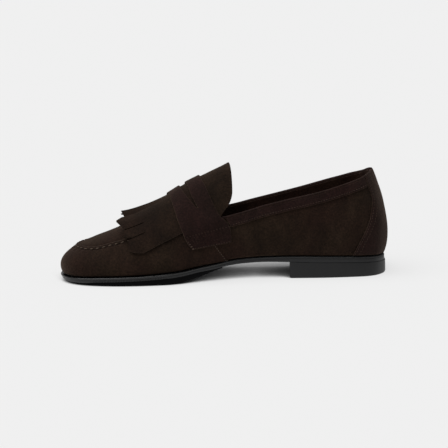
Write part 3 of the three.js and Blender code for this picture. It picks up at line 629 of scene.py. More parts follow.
BROWN_SUEDE = suede("brown_calf_suede", "#160f0a", "#1f160f", "#2a1f17", "#21130f")
FRINGE_SUEDE = suede("kiltie_calf_suede", "#140d09", "#1b120c", "#251a13", "#1d110d")
RED_SUEDE = suede("red_brown_calf_suede", "#160d0a", "#1d1210", "#271916", "#211110")
FACING_SUEDE = suede("collar_facing_suede", "#21140f", "#2b1c16", "#38271f", "#2d1a15")
CUT_SUEDE = suede("cut_suede_edge", "#201711", "#2a1f18", "#36291f", "#2a1d17", nap=0.6)
LINING = leather("brown_lining_leather", "#160c08", "#241610", 0.66)
SOCK = leather("dark_sock_leather", "#110b08", "#1c130e", 0.55)
THREAD = thread("brown_waxed_thread", "#31251d", "#463930")
PALE_THREAD = thread("pale_brown_waxed_thread", "#3e342c", "#574b41")
# painted shade: near-black marks that stand for the shade inside the needle holes
HOLE_SHADE = leather("needle_hole_painted_shade", "#030201", "#060403", 0.9)
RIM_RUBBER = rubber("satin_rim_rubber", "#070708", "#0d0d0e", 0.66, 0.5, 0.15, rubbed_rough=0.24)
WALL_RUBBER = rubber("matt_wall_rubber", "#0b0b0c", "#131314", 0.45, 0.4)
HEEL_RUBBER = rubber("moulded_heel_rubber", "#0d0d0e", "#151516", 0.46, 0.34)
TREAD_RUBBER = rubber("matt_tread_rubber", "#030304", "#060607", 0.8, 0.1, 0.5)


# Stitches
# Places along a stitch and its width there, and the corners round it
STOPS = ((-1.0, 0.0), (-0.72, 0.78), (0.0, 1.0), (0.72, 0.78), (1.0, 0.0))
AROUND = 8


def stitch_form():
    """One thread stitch as a fat capsule of unit size, along, across and up"""
    places, faces = [(-1.0, 0.0, 0.0)], []
    for stop, size in STOPS[1:-1]:
        for j in range(AROUND):
            w = 2 * math.pi * j / AROUND
            places.append((stop, math.cos(w) * size, math.sin(w) * size))
    places.append((1.0, 0.0, 0.0))
    last = len(places) - 1
    for j in range(AROUND):
        k = (j + 1) % AROUND
        faces.append((0, 1 + k, 1 + j))
        for ring in (1, 1 + AROUND):
            faces.append((ring + j, ring + k, ring + AROUND + k, ring + AROUND + j))
        faces.append((last - AROUND + j, last - AROUND + k, last))
    return np.array(places), faces


def stitches(name, centres, along, normals, length, width, material, height=None):
    """One mesh of thread stitches"""
    form, faces = stitch_form()
    along, normals = unit(along), unit(normals)
    across = unit(np.cross(normals, along))
    size = np.array([length, width, height or width * 0.8]) / 2
    axes = np.stack([along, across, normals], 1)
    places = centres[:, None] + np.einsum("vk,skc->svc", form * size, axes)
    rings = [tuple(v + len(form) * s for v in face) for s in range(len(centres)) for face in faces]
    return make(name, places.reshape(-1, 3), rings, material, "brown_suede", closed=False, crease=80)


def walked(points):
    """Distance gone at each point of a line"""
    return np.concatenate([[0], np.cumsum(np.linalg.norm(np.diff(points, axis=0), axis=1))])


def even_steps(points, normals, pitch, first=0.5):
    """Even steps along a line: places, directions and normals"""
    walk = walked(points)
    goals = np.arange(pitch * first, walk[-1], pitch)

    def read(values, at):
        return np.stack([np.interp(at, walk, values[:, j]) for j in range(3)], -1)

    along = unit(read(points, goals + 0.3) - read(points, goals - 0.3))
    return read(points, goals), along, unit(read(normals, goals))


def sewn_line(name, points, normals, pitch=2.5, length=1.75, width=0.62, material=None):
    """A row of stitches, with painted shade for the needle holes between them"""
    at, along, up = even_steps(points, normals, pitch)
    stitches(name, at + up * 0.08, along, up, length, width, material or THREAD)
    at, along, up = even_steps(points, normals, pitch, first=1.0)
    # dark flat marks between the stitches, painted shade for the needle holes
    stitches(name + "_holes", at - up * 0.02, along, up, 0.62, 0.55, HOLE_SHADE, height=0.16)


# Soft creases and swells of the upper: place of the middle, lean in degrees, length, width, and
# depth in millimetres, minus for a trough. Side 1 is the inner side.
CREASES = table("x z lean long wide deep side", """
196 34  62 30  9.0 -0.55  1
206 30  66 24  7.0  0.30  1
214 28  70 20  7.5 -0.35  1
166 52 118 30  8.0 -0.40  1
120 42  12 60 14.0  0.45  1
 84 34  80 34 12.0 -0.35  1
 60 52  70 30 12.0  0.30  1
248 26  30 26  8.0 -0.25  1
200 34  62 30  9.0 -0.50 -1
212 30  68 24  8.0  0.30 -1
130 44  10 60 14.0  0.40 -1
 80 40  78 34 12.0 -0.35 -1
""")


def crease_relief(p, side):
    """Height of the creases at each place, on the side that each belongs to"""
    total = np.zeros(p.shape[:-1])
    for x, z, lean, long, wide, deep, own in zip(*CREASES.values()):
        a = math.radians(lean)
        dx, dz = p[..., 0] - x, p[..., 2] - z
        along, across = dx * math.cos(a) + dz * math.sin(a), dz * math.cos(a) - dx * math.sin(a)
        total += deep * np.exp(-2 * (along / long) ** 2 - 2 * (across / wide) ** 2) * (side == own)
    return total


def hide_relief(p):
    """A hide is never quite even: slow swells of a fifth of a millimetre"""
    x, y, z = p[..., 0], p[..., 1], p[..., 2]
    return (0.10 * np.sin(x / 9.1 + z / 13.0 + 0.6) * np.sin(z / 7.7 - y / 17.0 + 1.1)
            + 0.07 * np.sin(x / 5.3 - z / 6.1 + y / 9.0) + 0.05 * np.sin(x / 3.1 + y / 4.7 + z / 3.9))


def both_sides(*parts):
    """Turns from toe to toe round the heel"""
    side = spans(*parts)
    return np.concatenate([-side[::-1][:-1], side])


# Pitch of the toe seam's gathers, and how far the fine net reaches to each side of it
SEAM_PITCH, SEAM_FIELD = 5.5, 4.2
# Lengths between which the quarter's foot rolls over the sole
ARCH_FROM, ARCH_FULL, ARCH_FADES, ARCH_TO = 96, 108, 144, 152
EDGE_FADE = 3.0
FEATHER_DEPTH, FEATHER_HEIGHT = 0.5, 0.7


def seam_line(u):
    """t of the toe seam, its millimetres per t, and t of the top line"""
    top = collar_t(u)
    seam = first_place(u, lambda v, p: p[..., 2] >= SEAM_HEIGHT(p[..., 0] / LENGTH) * INSTEP)
    seam = np.minimum(seam, 0.8 * top)
    pace = np.linalg.norm(skin(u, seam + 0.002) - skin(u, seam - 0.002), axis=-1) / 0.004
    return seam, pace, top


def seam_relief(across, walk):
    """Raised seam between two grooves, pinched at each stitch, with gathers below it"""
    gather = np.cos(2 * math.pi * walk / SEAM_PITCH)
    ridge = (0.95 - 0.16 * gather) * np.exp(-(across / 1.35) ** 2)
    grooves = 0.36 * np.exp(-((across - 2.7) / 0.9) ** 2) + 0.34 * np.exp(-((across + 2.3) / 0.9) ** 2)
    return ridge - grooves - 0.17 * gather * np.exp(-((across + 4.4) / 2.4) ** 2)


def upper_shell():
    """Outside of the upper with its toe seam, and the lining two millimetres in"""
    u = both_sides((0, 0.1, 36), (0.1, 0.5, 84), (0.5, 0.6, 64), (0.6, 0.8, 60), (0.8, 0.9, 40),
                   (0.9, 1, 64))
    seam, pace, top = seam_line(u)
    points = skin(u, seam)
    walk = walked(points)
    half = SEAM_FIELD / pace
    t = np.concatenate([
        (seam - half)[:, None] * np.linspace(0, 1, 25)[:-1],
        seam[:, None] + half[:, None] * np.linspace(-1, 1, 19)[:-1],
        (seam + half)[:, None] + (top - seam - half)[:, None] * np.linspace(0, 1, 25),
    ], 1)
    p, n = skin(u[:, None], t), skin_normal(u[:, None], t)
    across = (t - seam[:, None]) * pace[:, None]
    relief = SEAM_SHOW(p[..., 0] / LENGTH) * seam_relief(across, walk[:, None]) + hide_relief(p)
    relief += crease_relief(p, np.where(u < 0, -1, 1)[:, None])
    open_edge = np.clip((top[:, None] - t) * pace[:, None] / EDGE_FADE, 0, 1)
    relief *= np.clip(t * pace[:, None] / EDGE_FADE, 0, 1) * np.where(top[:, None] > 0.999, 1, open_edge)
    # the quarter's foot rolls over the sole at the arch
    up = t * pace[:, None]
    x = p[..., 0]
    arch = soft_step(x, ARCH_FROM, ARCH_FULL) * (1 - soft_step(x, ARCH_FADES, ARCH_TO))
    roll, dip = np.exp(-((up - 1.9) / 0.9) ** 2), np.exp(-((up - 4.0) / 1.0) ** 2)
    relief += 0.45 * arch * roll - 0.25 * arch * dip
    # all round, the foot of the upper draws in to the feather line, which stays black
    relief -= FEATHER_DEPTH * np.exp(-(up / FEATHER_HEIGHT) ** 2)
    outer = p + n * relief[..., None]
    foot, lip = outer[:, :1] - n[:, :1] * UPPER_TURN, outer[:, -1:] - n[:, -1:] * UPPER_TURN
    net = np.concatenate([foot, outer, lip], 1)
    net[top > 0.999, -1] = net[top > 0.999, -2]
    make("upper_suede", net.reshape(-1, 3), grid_faces(*net.shape[:2]).tolist(), BROWN_SUEDE,
         "brown_suede", ["upper"], closed=False)

    u = both_sides((0, 0.1, 20), (0.1, 0.5, 40), (0.5, 0.6, 30), (0.6, 1, 50))
    t = collar_t(u)[:, None] * np.linspace(0, 1, 34)
    inner = skin(u[:, None], t) - skin_normal(u[:, None], t) * UPPER_THICK
    faces = grid_faces(*inner.shape[:2])[:, ::-1].tolist()
    make("upper_lining", inner.reshape(-1, 3), faces, LINING, "lining_leather", ["upper"], closed=False)


def toe_seam_stitches():
    """Hand stitches along both flanks of the toe seam, one to each gather"""
    u = both_sides((0.775, 0.9, 120), (0.9, 1, 160))[1:-1]
    seam, pace, _ = seam_line(u)
    for flank, drop, out, long, wide, material in (
            ("lower", -1.45, 0.34, 3.1, 1.2, PALE_THREAD), ("upper", 1.5, 0.15, 2.2, 0.75, THREAD)):
        t = seam + drop / pace
        points, normals = place(u, t, out), skin_normal(u, t)
        at, along, up = even_steps(points, normals, SEAM_PITCH)
        slant = along + np.cross(up, along) * 0.15
        stitches(f"toe_seam_{flank}_stitches", at, slant, up, long, wide, material)
        # dark flat marks between the stitches, painted shade for the needle holes
        at, along, up = even_steps(points, normals, SEAM_PITCH, first=1.0)
        stitches(f"toe_seam_{flank}_holes", at - up * 0.1, along, up, 1.2, 0.7, HOLE_SHADE, height=0.3)


def tongue():
    """Loose tongue under the strap, with soft corners"""
    across = np.linspace(-TONGUE_REACH, TONGUE_REACH, 97)
    share = np.linspace(0, 1, 41)
    back = TONGUE_BACK(abs(across) / TONGUE_REACH)
    at = TONGUE_FRONT + (back - TONGUE_FRONT)[:, None] * share
    u, t = from_crest(at, across[:, None])
    wave = hide_relief(skin(u, t)) + 0.5 * share ** 3 * np.cos(across[:, None] / 9.0)
    lift = COVER_GAP + np.clip(wave, 0, 0.6)
    obj = make("tongue_suede", *sheet(u, t, lift, TONGUE), BROWN_SUEDE, "brown_suede", ["tongue"])
    round_edges(obj, 0.42, CUT_SUEDE)


def kiltie():
    """Fringed flap: strips knifed from one piece, each standing off and twisting in its own way"""
    cuts, joined, free = 12, 22, 30
    ats, downs, lifts, owners = [], [], [], []
    strips = [(i, -1) for i in (3, 2, 1)] + [(0, 1)] + [(i, 1) for i in (1, 2, 3)]
    for owner, (i, sign) in enumerate(strips):
        near = FRINGE["near"][i] * FRINGE_REACH + SLIT / 2
        far = FRINGE["far"][i] * FRINGE_REACH - (SLIT / 2 if FRINGE["far"][i] < 1 else 0)
        for share in np.linspace(0, 1, cuts + 1)[::sign]:
            peak = FRINGE["peak"][i]
            off = max((peak - share) / peak, (share - peak) / (1 - peak)) ** FRINGE["round"][i]
            corner = FRINGE["high"][i] if share < peak else FRINGE["low"][i]
            short = OUTER_SHORT if sign < 0 else 0
            end = FRINGE["tip"][i] * (1 - off) + corner * off - short
            at = np.concatenate([np.linspace(KILTIE_FROM, SLIT_ROOT - short, joined + 1),
                                 np.linspace(SLIT_ROOT - short, end, free + 1)[1:]])
            down = near + (far - near) * share
            ats.append(at)
            downs.append(np.full(len(at), sign * down))
            curl = np.clip((at - CURL_FROM) / (CURL_TO - CURL_FROM), 0, None) ** CURL_POWER
            # the middle strip hangs over its neighbours at its sides
            hang = MIDDLE_HANG * (down / far) ** 2 if i == 0 else 0
            lifts.append((STAND(abs(down)) - hang) * curl)
            owners.append(owner)
    at, down, lift, owners = np.array(ats), np.array(downs), np.array(lifts), np.array(owners)
    u, t = from_crest(at, down)
    keep = np.ones((len(at) - 1, at.shape[1] - 1), bool)
    keep[np.nonzero(owners[:-1] != owners[1:])[0], joined:] = False
    lift = lift + COVER_GAP + np.clip(hide_relief(skin(u, t)), 0, None)
    obj = make("kiltie_suede", *sheet(u, t, lift, KILTIE, keep), FRINGE_SUEDE, "brown_suede", ["kiltie"])
    round_edges(obj, 0.4, CUT_SUEDE)


def strap_down(share, along):
    """Distance down from the crest, at a share down and a share from front to back"""
    return share * (STRAP_REACH + (STRAP_REACH_BACK - STRAP_REACH) * along)


def strap_line(share):
    """Lengths and distances down, from the front edge over the slot to the back edge"""
    size = abs(share)
    front, back = STRAP_FRONT(size), STRAP_BACK(size)
    run = min(size / SLOT_REACH, 1)
    half = (SLOT_WIDTH + (SLOT_TIP - SLOT_WIDTH) * run ** SLOT_TAPER) / 2 / LENGTH
    centre = SLOT_CENTRE - SLOT_SWEEP * run ** SLOT_SWEEP_POWER - SLOT_PAST_SWEEP * max(size - SLOT_REACH, 0)
    at = np.concatenate([np.linspace(front, centre + half, SLOT_COLUMN + 1),
                         np.linspace(centre - half, back, COLUMNS_PAST_SLOT)])
    return at, strap_down(share, (at - front) / (back - front))


def strap_lift(down):
    """The strap lies over the kiltie and the tongue, and settles on the quarters past them"""
    clear = soft_step(abs(down), FRINGE_REACH + STRAP, FRINGE_REACH + STRAP + STRAP_SETTLE)
    return COVER_GAP + (max(TONGUE, KILTIE) + COVER_GAP) * (1 - clear)


def saddle_strap():
    """Strap over the instep with its pointed slot"""
    shares = np.concatenate([
        np.linspace(-1, -SLOT_REACH, 48), np.linspace(-SLOT_REACH, SLOT_REACH, 97)[1:],
        np.linspace(SLOT_REACH, 1, 48)[1:],
    ])
    lines = [strap_line(s) for s in shares]
    at, down = np.array([a for a, _ in lines]), np.array([d for _, d in lines])
    u, t = from_crest(at, down)
    keep = np.ones((len(at) - 1, at.shape[1] - 1), bool)
    keep[abs(shares[:-1] + shares[1:]) / 2 < SLOT_REACH, SLOT_COLUMN] = False
    thick = STRAP + np.clip(hide_relief(skin(u, t)), -0.1, 0.25)
    # a hem pressed in along the strap's foot, under the whipped seam
    thick = thick - 0.3 * np.exp(-((abs(down) - HEM_DOWN * strap_down(1, 0.5)) / 0.8) ** 2)
    obj = make("saddle_strap_suede", *sheet(u, t, strap_lift(down), thick, keep), RED_SUEDE,
               "red_brown_suede", ["saddle_strap"])
    round_edges(obj, 0.45, CUT_SUEDE)


def strap_top(share, along, sink=0.0):
    """Places and normals on the strap's face, at a share down and a share from front to back"""
    front, back = STRAP_FRONT(abs(share)), STRAP_BACK(abs(share))
    down = strap_down(share, along)
    u, t = from_crest(front + (back - front) * along, down)
    return place(u, t, strap_lift(down) + STRAP - sink), skin_normal(u, t)


def strap_stitching():
    """Whipped seam that joins the strap's ends to the quarters, above the hem, and corner tacks"""
    for side, word in SIDES:
        along = np.linspace(0.05, 0.985, WHIPS)
        high, n = strap_top(np.full(WHIPS, side * WHIP_TOP), along)
        low, _ = strap_top(np.full(WHIPS, side * HEM_DOWN), along + 0.012)
        stitches(f"strap_whip_{word}", (high + low) / 2 - n * 0.1, low - high, n,
                 np.linalg.norm(low - high, axis=1).mean(), 0.95, RED_SUEDE)
        stitches(f"strap_whip_heads_{word}", high, low - high, n, 1.1, 0.7, THREAD)
        # dark flat marks above the whips, painted shade for the needle holes
        stitches(f"strap_whip_holes_{word}", high - unit(low - high) * 0.8, low - high, n, 0.6, 0.5, HOLE_SHADE,
                 height=0.2)
        sewn_line(f"strap_hem_{word}", *strap_top(np.full(60, side * 0.985), np.linspace(0.06, 0.99, 60)),
                  pitch=2.4, length=1.5, width=0.45)
        down = np.linspace(0.875, 0.985, 4)
        at, n = strap_top(side * down, np.full(4, 0.03), sink=0.15)
        ahead, _ = strap_top(side * down, np.full(4, -0.02), sink=0.15)
        stitches(f"strap_tack_{word}", at, at - ahead, n, 2.2, 0.9, PALE_THREAD)


def patch_reach(side, t_of, gap, count):
    """u at which each row meets the heel patch's front edge"""

    def past(size):
        p = skin(side * size, t_of(side * size))
        return p[..., 0] >= PATCH_FRONT(p[..., 2] / COLLAR) * LENGTH + gap

    return side * halved(past, np.zeros(count), np.full(count, 0.4))


def band_ends(side, depths):
    """u at the heel patch and at the strap for lines at depths below the top line"""
    shares = np.linspace(0.2, 1, 81)
    edge_line, _ = strap_top(side * shares, np.ones(81))

    def past_strap(size):
        p = skin(side * size, below_top(side * size, depths))
        return p[..., 0] >= np.interp(-p[..., 2], -edge_line[:, 2], edge_line[:, 0]) - END_GAP

    start_u = patch_reach(side, lambda u: below_top(u, depths), END_GAP, len(depths))
    low, high = np.full(len(depths), 0.4), np.full(len(depths), turn_of(STRAP_EDGES["back"][0]))
    return start_u, side * halved(past_strap, low, high)


def collar_bands():
    """Band down the outside of each top line"""
    depths = np.linspace(1.6, BINDING_DEPTH, 9)
    for side, word in SIDES:
        starts, stops = band_ends(side, depths)
        u = starts + (stops - starts) * np.linspace(0, 1, 130)[:, None]
        t = below_top(u, depths)
        thick = BINDING + np.clip(hide_relief(skin(u, t)), -0.1, 0.2)
        obj = make(f"collar_band_{word}", *sheet(u, t, COVER_GAP, thick), RED_SUEDE, "red_brown_suede",
                   [f"collar_binding_{word}"])
        round_edges(obj, 0.4, CUT_SUEDE)
        row_u = (u[:, 0] * 0.18 + u[:, -1] * 0.82)[2:-2]
        row_t = below_top(row_u, BINDING_DEPTH - 1.7)
        sewn_line(f"collar_stitches_{word}", place(row_u, row_t, COVER_GAP + BINDING),
                  skin_normal(row_u, row_t), pitch=2.4, length=1.5, width=0.5)


ROLL_MIDDLE, ROLL_THICK, ROLL_HIGH = -0.35, 2.05, 1.35
FACING_LIFT, FACING_THICK = -2.75, 0.7


def top_roll():
    """Rolled edge of the top line, from the strap round the heel to the strap"""
    ends = [band_ends(side, np.array([1.0]))[1][0] for side in (1, -1)]
    u = both_sides((0, 0.1, 40), (0.1, 0.62, 150))
    u = u[(u < ends[0] + 0.004) & (u > ends[1] - 0.004)]
    w = np.linspace(0, 2 * math.pi, 15)
    t = below_top(u[:, None], 0.95 + ROLL_HIGH * np.sin(w))
    net = place(u[:, None], t, ROLL_MIDDLE + ROLL_THICK * np.cos(w))
    make("top_line_roll", net.reshape(-1, 3), grid_faces(*net.shape[:2]).tolist(), RED_SUEDE,
         "red_brown_suede", ["collar_binding_inner", "collar_binding_outer"])


def collar_facing():
    """Suede facing turned over the top line and down its inside"""
    u = both_sides((0, 0.1, 40), (0.1, 0.52, 110))[:, None]
    t = below_top(u, np.linspace(1.2, 13.0, 9))
    obj = make("collar_facing", *sheet(u + 0 * t, t, FACING_LIFT, FACING_THICK), FACING_SUEDE,
               "red_brown_suede", ["upper"])
    round_edges(obj, 0.25, CUT_SUEDE)


def heel_patch():
    """Patch round the back of the heel, sewn down with two rows"""
    levels = np.concatenate([np.linspace(0.02, 0.96, 46), [0.975, 0.985]])
    ends = [patch_reach(side, lambda u: levels * collar_t(u), 0.0, len(levels)) for side in (-1, 1)]
    u = ends[0][:, None] + (ends[1] - ends[0])[:, None] * np.linspace(0, 1, 91)
    t = levels[:, None] * collar_t(u)
    thick = PATCH + np.clip(hide_relief(skin(u, t)), -0.15, 0.25)
    obj = make("heel_patch_suede", *sheet(u, t, PATCH_GAP, thick), RED_SUEDE, "red_brown_suede",
               ["heel_patch"])
    round_edges(obj, 0.4, CUT_SUEDE)
    levels = np.linspace(0.03, 0.93, 40)
    for row, gap in (("front", -1.7), ("back", -5.2)):
        for side, word in SIDES:
            row_u = patch_reach(side, lambda u: levels * collar_t(u), gap, len(levels))
            row_t = levels * collar_t(row_u)
            sewn_line(f"heel_patch_{row}_row_{word}", place(row_u, row_t, PATCH_GAP + PATCH),
                      skin_normal(row_u, row_t), pitch=2.45, length=1.6, width=0.55)


def vamp_lap():
    """The vamp's cut edge over the quarter, between the strap and the sole, sewn with one row"""
    ahead = np.concatenate([np.linspace(0, 2, 7), np.linspace(2, 15, 14)[1:]])
    z = np.linspace(LAP["z"][0], LAP["z"][-1], 40)[:, None]
    x = LAP_LINE(z) + ahead
    fade = 1 - soft_step(ahead, 2.0, 15.0)
    for side, word in SIDES:
        u = side * turn_of(x / LENGTH)
        for _ in range(8):
            t = height_t(u, np.broadcast_to(z, u.shape))
            u = u + side * (x - skin(u, t)[..., 0]) / LENGTH * 0.7
        p, n = skin(u, t), skin_normal(u, t)
        top = (0.62 * fade - 0.12 * (1 - fade) + hide_relief(p))[..., None]
        obj = make(f"vamp_lap_{word}", *slab(p + n * top, p - n * 0.8), BROWN_SUEDE, "brown_suede",
                   ["upper"], crease=50)
        round_edges(obj, 0.3, CUT_SUEDE, angle=55)
        sewn_line(f"vamp_lap_stitches_{word}", (p + n * 0.6)[1:-1, 5], n[1:-1, 5],
                  pitch=2.3, length=1.5, width=0.6, material=PALE_THREAD)


# Sole
CORNER_INSET = 0.3
PLATE_COLUMNS = "inset rakes ribs tucks seat band floor up corners"


def plate(turns, rows, outer_share=1.0, cross=9, corner=None, caps=()):
    """A plate lofted along the edge. Each row gives an inset from the edge and a height.

    The inset adds shares of the rake at the heel, the ribs, the tuck under the toe and the breast's
    corner. The height adds shares of the seat, the band's foot and the floor.
    """
    corner = np.zeros(len(turns)) if corner is None else corner
    at = station(turns)
    rake, tuck = PLAN["rake"](at) * SEAT, PLAN["tuck"](at) * SEAT
    sides = []
    for side in (-1, 1):
        u = side * turns * (outer_share if side < 0 else 1.0)
        lines = []
        for inset, rakes, ribs_share, tucks, seat, band, floor, up, corners in zip(*rows.values()):
            flat = inset_edge(u, inset + rakes * rake + ribs_share * rib_groove(at) + tucks * tuck
                              + CORNER_INSET * corners * corner)
            here = flat[:, 0] / LENGTH
            top = PLAN["seat"](here) * SEAT
            height = (seat * top + band * (top - PLAN["band"](here) * SEAT)
                      + floor * PLAN["floor"](here) * SEAT
                      + up + (corner if floor + seat + band < 0.5 else 0))
            lines.append(np.concatenate([flat, height[:, None]], 1))
        sides.append(np.stack(lines, 1))
    outer, inner = sides
    mix = np.linspace(0, 1, cross + 1)[1:-1, None]
    top = outer[:, :1] * (1 - mix) + inner[:, :1] * mix
    bottom = inner[:, -1:] * (1 - mix) + outer[:, -1:] * mix
    net = np.concatenate([outer[:, ::-1], top, inner, bottom, outer[:, -1:]], 1)
    count = net.shape[1]
    faces = grid_faces(*net.shape[:2]).tolist()
    faces += [[row * count + k for k in range(count - 1)] for row in caps]
    return net.reshape(-1, 3), faces


RIB_PITCH, RIBS_FROM, RIBS_TO, RIB_DEPTH = 2.3, 0.69, 0.925, 0.85


def rib_groove(at):
    """Depth of the grooves between the upright ribs of the forefoot"""
    window = soft_step(at, RIBS_FROM, RIBS_FROM + 0.01) * (1 - soft_step(at, RIBS_TO - 0.01, RIBS_TO))
    return RIB_DEPTH * window * (0.5 + 0.5 * np.cos(2 * math.pi * at * LENGTH / RIB_PITCH)) ** 0.7


RIM_ROWS = table(PLATE_COLUMNS, """
4.00 1.00 0.0 0.00 1.0 0.0 0 -0.75 0
0.75 1.00 0.0 0.00 1.0 0.0 0 -0.75 0
0.33 1.00 0.0 0.00 1.0 0.0 0 -0.84 0
0.08 0.98 0.0 0.00 1.0 0.0 0 -1.06 0
0.00 0.96 0.0 0.00 1.0 0.0 0 -1.38 0
0.03 0.90 0.0 0.00 1.0 0.0 0 -1.72 0
0.22 0.86 0.0 0.00 1.0 0.0 0 -2.02 0
0.62 0.84 0.0 0.00 1.0 0.0 0 -2.20 0
3.50 0.84 0.0 0.00 1.0 0.0 0 -2.20 0
""")
WALL_ROWS = table(PLATE_COLUMNS, """
3.50 0.84 0.0 0.00 1.0 0.0 0 -2.20 0
0.62 0.84 0.0 0.00 1.0 0.0 0 -2.20 0
0.58 0.80 0.3 0.00 1.0 0.0 0 -2.40 0
0.50 0.75 1.0 0.15 1.0 0.0 0 -2.75 0
0.48 0.65 1.0 0.40 0.5 0.5 0 -1.37 0
0.50 0.52 1.0 0.90 0.0 1.0 0  0.25 0
0.75 0.50 1.0 1.00 0.0 1.0 0  0.00 0
3.00 0.50 0.0 1.00 0.0 1.0 0  0.00 0
""")
TREAD_ROWS = table(PLATE_COLUMNS, """
4.00 0 0 1 0 1.00 0.00 -0.02 0
2.60 0 0 1 0 1.00 0.00 -0.02 0
2.75 0 0 1 0 0.65 0.35 -0.20 0
3.00 0 0 1 0 0.25 0.75 -0.08 0
3.30 0 0 1 0 0.06 0.94 -0.02 0
3.80 0 0 1 0 0.00 1.00  0.00 0
""")
HEEL_ROWS = table(PLATE_COLUMNS, """
3.00 0.30 0 0 0 1 0 -0.02 1
0.85 0.30 0 0 0 1 0 -0.02 1
0.55 0.30 0 0 0 1 0 -0.20 1
0.50 0.29 0 0 0 1 0 -0.70 1
0.65 0.12 0 0 0 0 0  6.00 1
0.80 0.00 0 0 0 0 0  1.40 1
0.88 0.00 0 0 0 0 0  0.90 1
1.15 0.00 0 0 0 0 0  0.35 1
1.70 0.00 0 0 0 0 0  0.00 1
""")


def soles():
    """Sole band with its rounded rim, step and ribs, the tread set in under it, and the heel block"""
    ribs_count = int(round((RIBS_TO - RIBS_FROM) * LENGTH / RIB_PITCH)) * 8
    turns = np.concatenate([
        spans((0, 0.1, 24), (0.1, RIBS_FROM, 90))[:-1],
        turn_of(np.linspace(RIBS_FROM, RIBS_TO, ribs_count + 1)),
        spans((RIBS_TO, 1, 34))[1:],
    ])
    make("sole_rim", *plate(turns, RIM_ROWS), RIM_RUBBER, "sole_rubber", ["midsole"])
    make("sole_wall", *plate(turns, WALL_ROWS), WALL_RUBBER, "sole_rubber", ["midsole"])
    turns = spans((0.52, 0.7, 40), (0.7, 0.9, 30), (0.9, 1, 30))
    make("tread", *plate(turns, TREAD_ROWS, caps=[0]), TREAD_RUBBER, "sole_rubber", ["outsole"])
    gaps = np.array([HEEL_CORNER, 1.5, 0.9, 0.45, 0.15, 0.0])
    turns = np.concatenate([spans((0, 0.1, 26), (0.1, (HEEL_LENGTH - HEEL_CORNER - 2) / LENGTH, 30)),
                            turn_of((HEEL_LENGTH - gaps) / LENGTH)])
    gap = (station(turns[-1]) - station(turns)) * LENGTH
    inside = np.clip(HEEL_CORNER - gap, 0, None)
    corner = HEEL_CORNER - np.sqrt(np.clip(HEEL_CORNER ** 2 - inside ** 2, 0, None))
    outer_share = turn_of(HEEL_LENGTH_OUTER / LENGTH) / turn_of(HEEL_LENGTH / LENGTH)
    make("heel_block", *plate(turns, HEEL_ROWS, outer_share, corner=corner, caps=[len(turns) - 1]),
         HEEL_RUBBER, "sole_rubber", ["heel"])


SOCK_MARGIN = 2.6


def insole():
    """Insole board under a leather sock"""
    turns = spans((0, 0.1, 16), (0.1, 0.9, 60), (0.9, 1, 16))
    margin = PLAN["margin"](station(turns)) * SEAT + SOCK_MARGIN
    rows = {name: [0] * 4 for name in PLATE_COLUMNS.split()}
    rows["inset"] = [margin + 1.6, margin + 0.5, margin, margin]
    rows["seat"] = [1] * 4
    rows["up"] = [2.9, 2.75, 2.3, SOLE_GAP]
    make("sock_insole", *plate(turns, rows, cross=13), SOCK, "lining_leather", ["insole"])


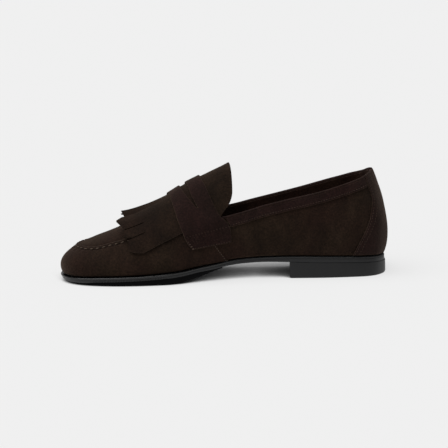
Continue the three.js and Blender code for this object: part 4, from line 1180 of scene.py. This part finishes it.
def studio():
    """Pale paper floor, soft light overhead and from the toe's side"""
    mesh = bpy.data.meshes.new("studio_floor")
    mesh.from_pydata([(-14, -14, 0), (14, -14, 0), (14, 14, 0), (-14, 14, 0)], [], [(0, 1, 2, 3)])
    floor = bpy.data.objects.new("studio_floor", mesh)
    scene.collection.objects.link(floor)
    material, tree, shader, where = start("pale_paper")
    # the paper glows too, a painted glow, with painted shade close under the shoe and a painted shadow where
    # the shoe hides light from the front
    near = node(tree, "AmbientOcclusion", {"samples": 12, "Distance": 0.03})
    under = node(tree, "ValToRGB", {"stops": [(0.10, 0.01), (0.42, 0.70)]}, {"Fac": near.outputs["AO"]})
    front = node(tree, "CombineXYZ", {"X": 0.0, "Y": 0.87, "Z": 0.5})
    wide = node(tree, "AmbientOcclusion", {"samples": 12, "Distance": 0.12}, {"Normal": front})
    behind = node(tree, "ValToRGB", {"stops": [(0.32, 0.1), (0.7, 1.0)]}, {"Fac": wide.outputs["AO"]})
    glow = node(tree, "Mix", {"data_type": "RGBA", "blend_type": "MULTIPLY", 0: 1.0},
                {6: under, 7: behind})
    finish_shader(tree, shader, {
        "Base Color": (0.15, 0.15, 0.15, 1), "Roughness": 0.9, "Specular IOR Level": 0.0,
        "Emission Color": (1, 1, 1, 1),
    }, {"Emission Strength": glow.outputs[2]})
    mesh.materials.append(material)

    world = bpy.data.worlds.new("studio")
    world.use_nodes = True
    background = world.node_tree.nodes["Background"]
    background.inputs["Color"].default_value = (1, 1, 1, 1)
    background.inputs["Strength"].default_value = 0.32
    scene.world = world
    for name, direction, strength, angle in (
            ("overhead_softbox", (0.35, 0.1, 1.0), 2.6, 60),
            ("toe_side_softbox", (1.0, 0.7, 0.6), 0.25, 60)):
        light = bpy.data.lights.new(name, "SUN")
        light.energy = strength
        light.angle = math.radians(angle)
        obj = bpy.data.objects.new(name, light)
        obj.rotation_euler = Vector(direction).to_track_quat("Z", "Y").to_euler()
        scene.collection.objects.link(obj)


# The camera of the photograph, fitted to the outline, in degrees and metres
CAMERA_AZIMUTH, CAMERA_ELEVATION, CAMERA_DISTANCE, TARGET_HEIGHT = 171.0, 9.617, 1.7, 0.045


def camera():
    """Seen from the inner side, a little above, from 1.7 m"""
    azimuth, elevation = math.radians(CAMERA_AZIMUTH), math.radians(CAMERA_ELEVATION)
    back = Vector((math.sin(azimuth) * math.cos(elevation), -math.cos(azimuth) * math.cos(elevation),
                   math.sin(elevation)))
    target = Vector(((OFFSET[0] + LENGTH / 2) * MM, OFFSET[1] * MM, TARGET_HEIGHT))
    lens = bpy.data.cameras.new("studio_camera")
    lens.sensor_width = 36.0
    lens.lens = 155.5
    lens.shift_x, lens.shift_y = -0.00232, -0.00054
    lens.clip_start, lens.clip_end = 0.05, 60.0
    obj = bpy.data.objects.new("studio_camera", lens)
    obj.location = target + back * CAMERA_DISTANCE
    obj.rotation_euler = back.to_track_quat("Z", "Y").to_euler()
    scene.collection.objects.link(obj)
    scene.camera = obj


studio()
camera()
soles()
insole()
upper_shell()
toe_seam_stitches()
vamp_lap()
tongue()
kiltie()
saddle_strap()
strap_stitching()
collar_bands()
top_roll()
collar_facing()
heel_patch()

scene.view_settings.view_transform = "Standard"
bpy.context.view_layer.update()
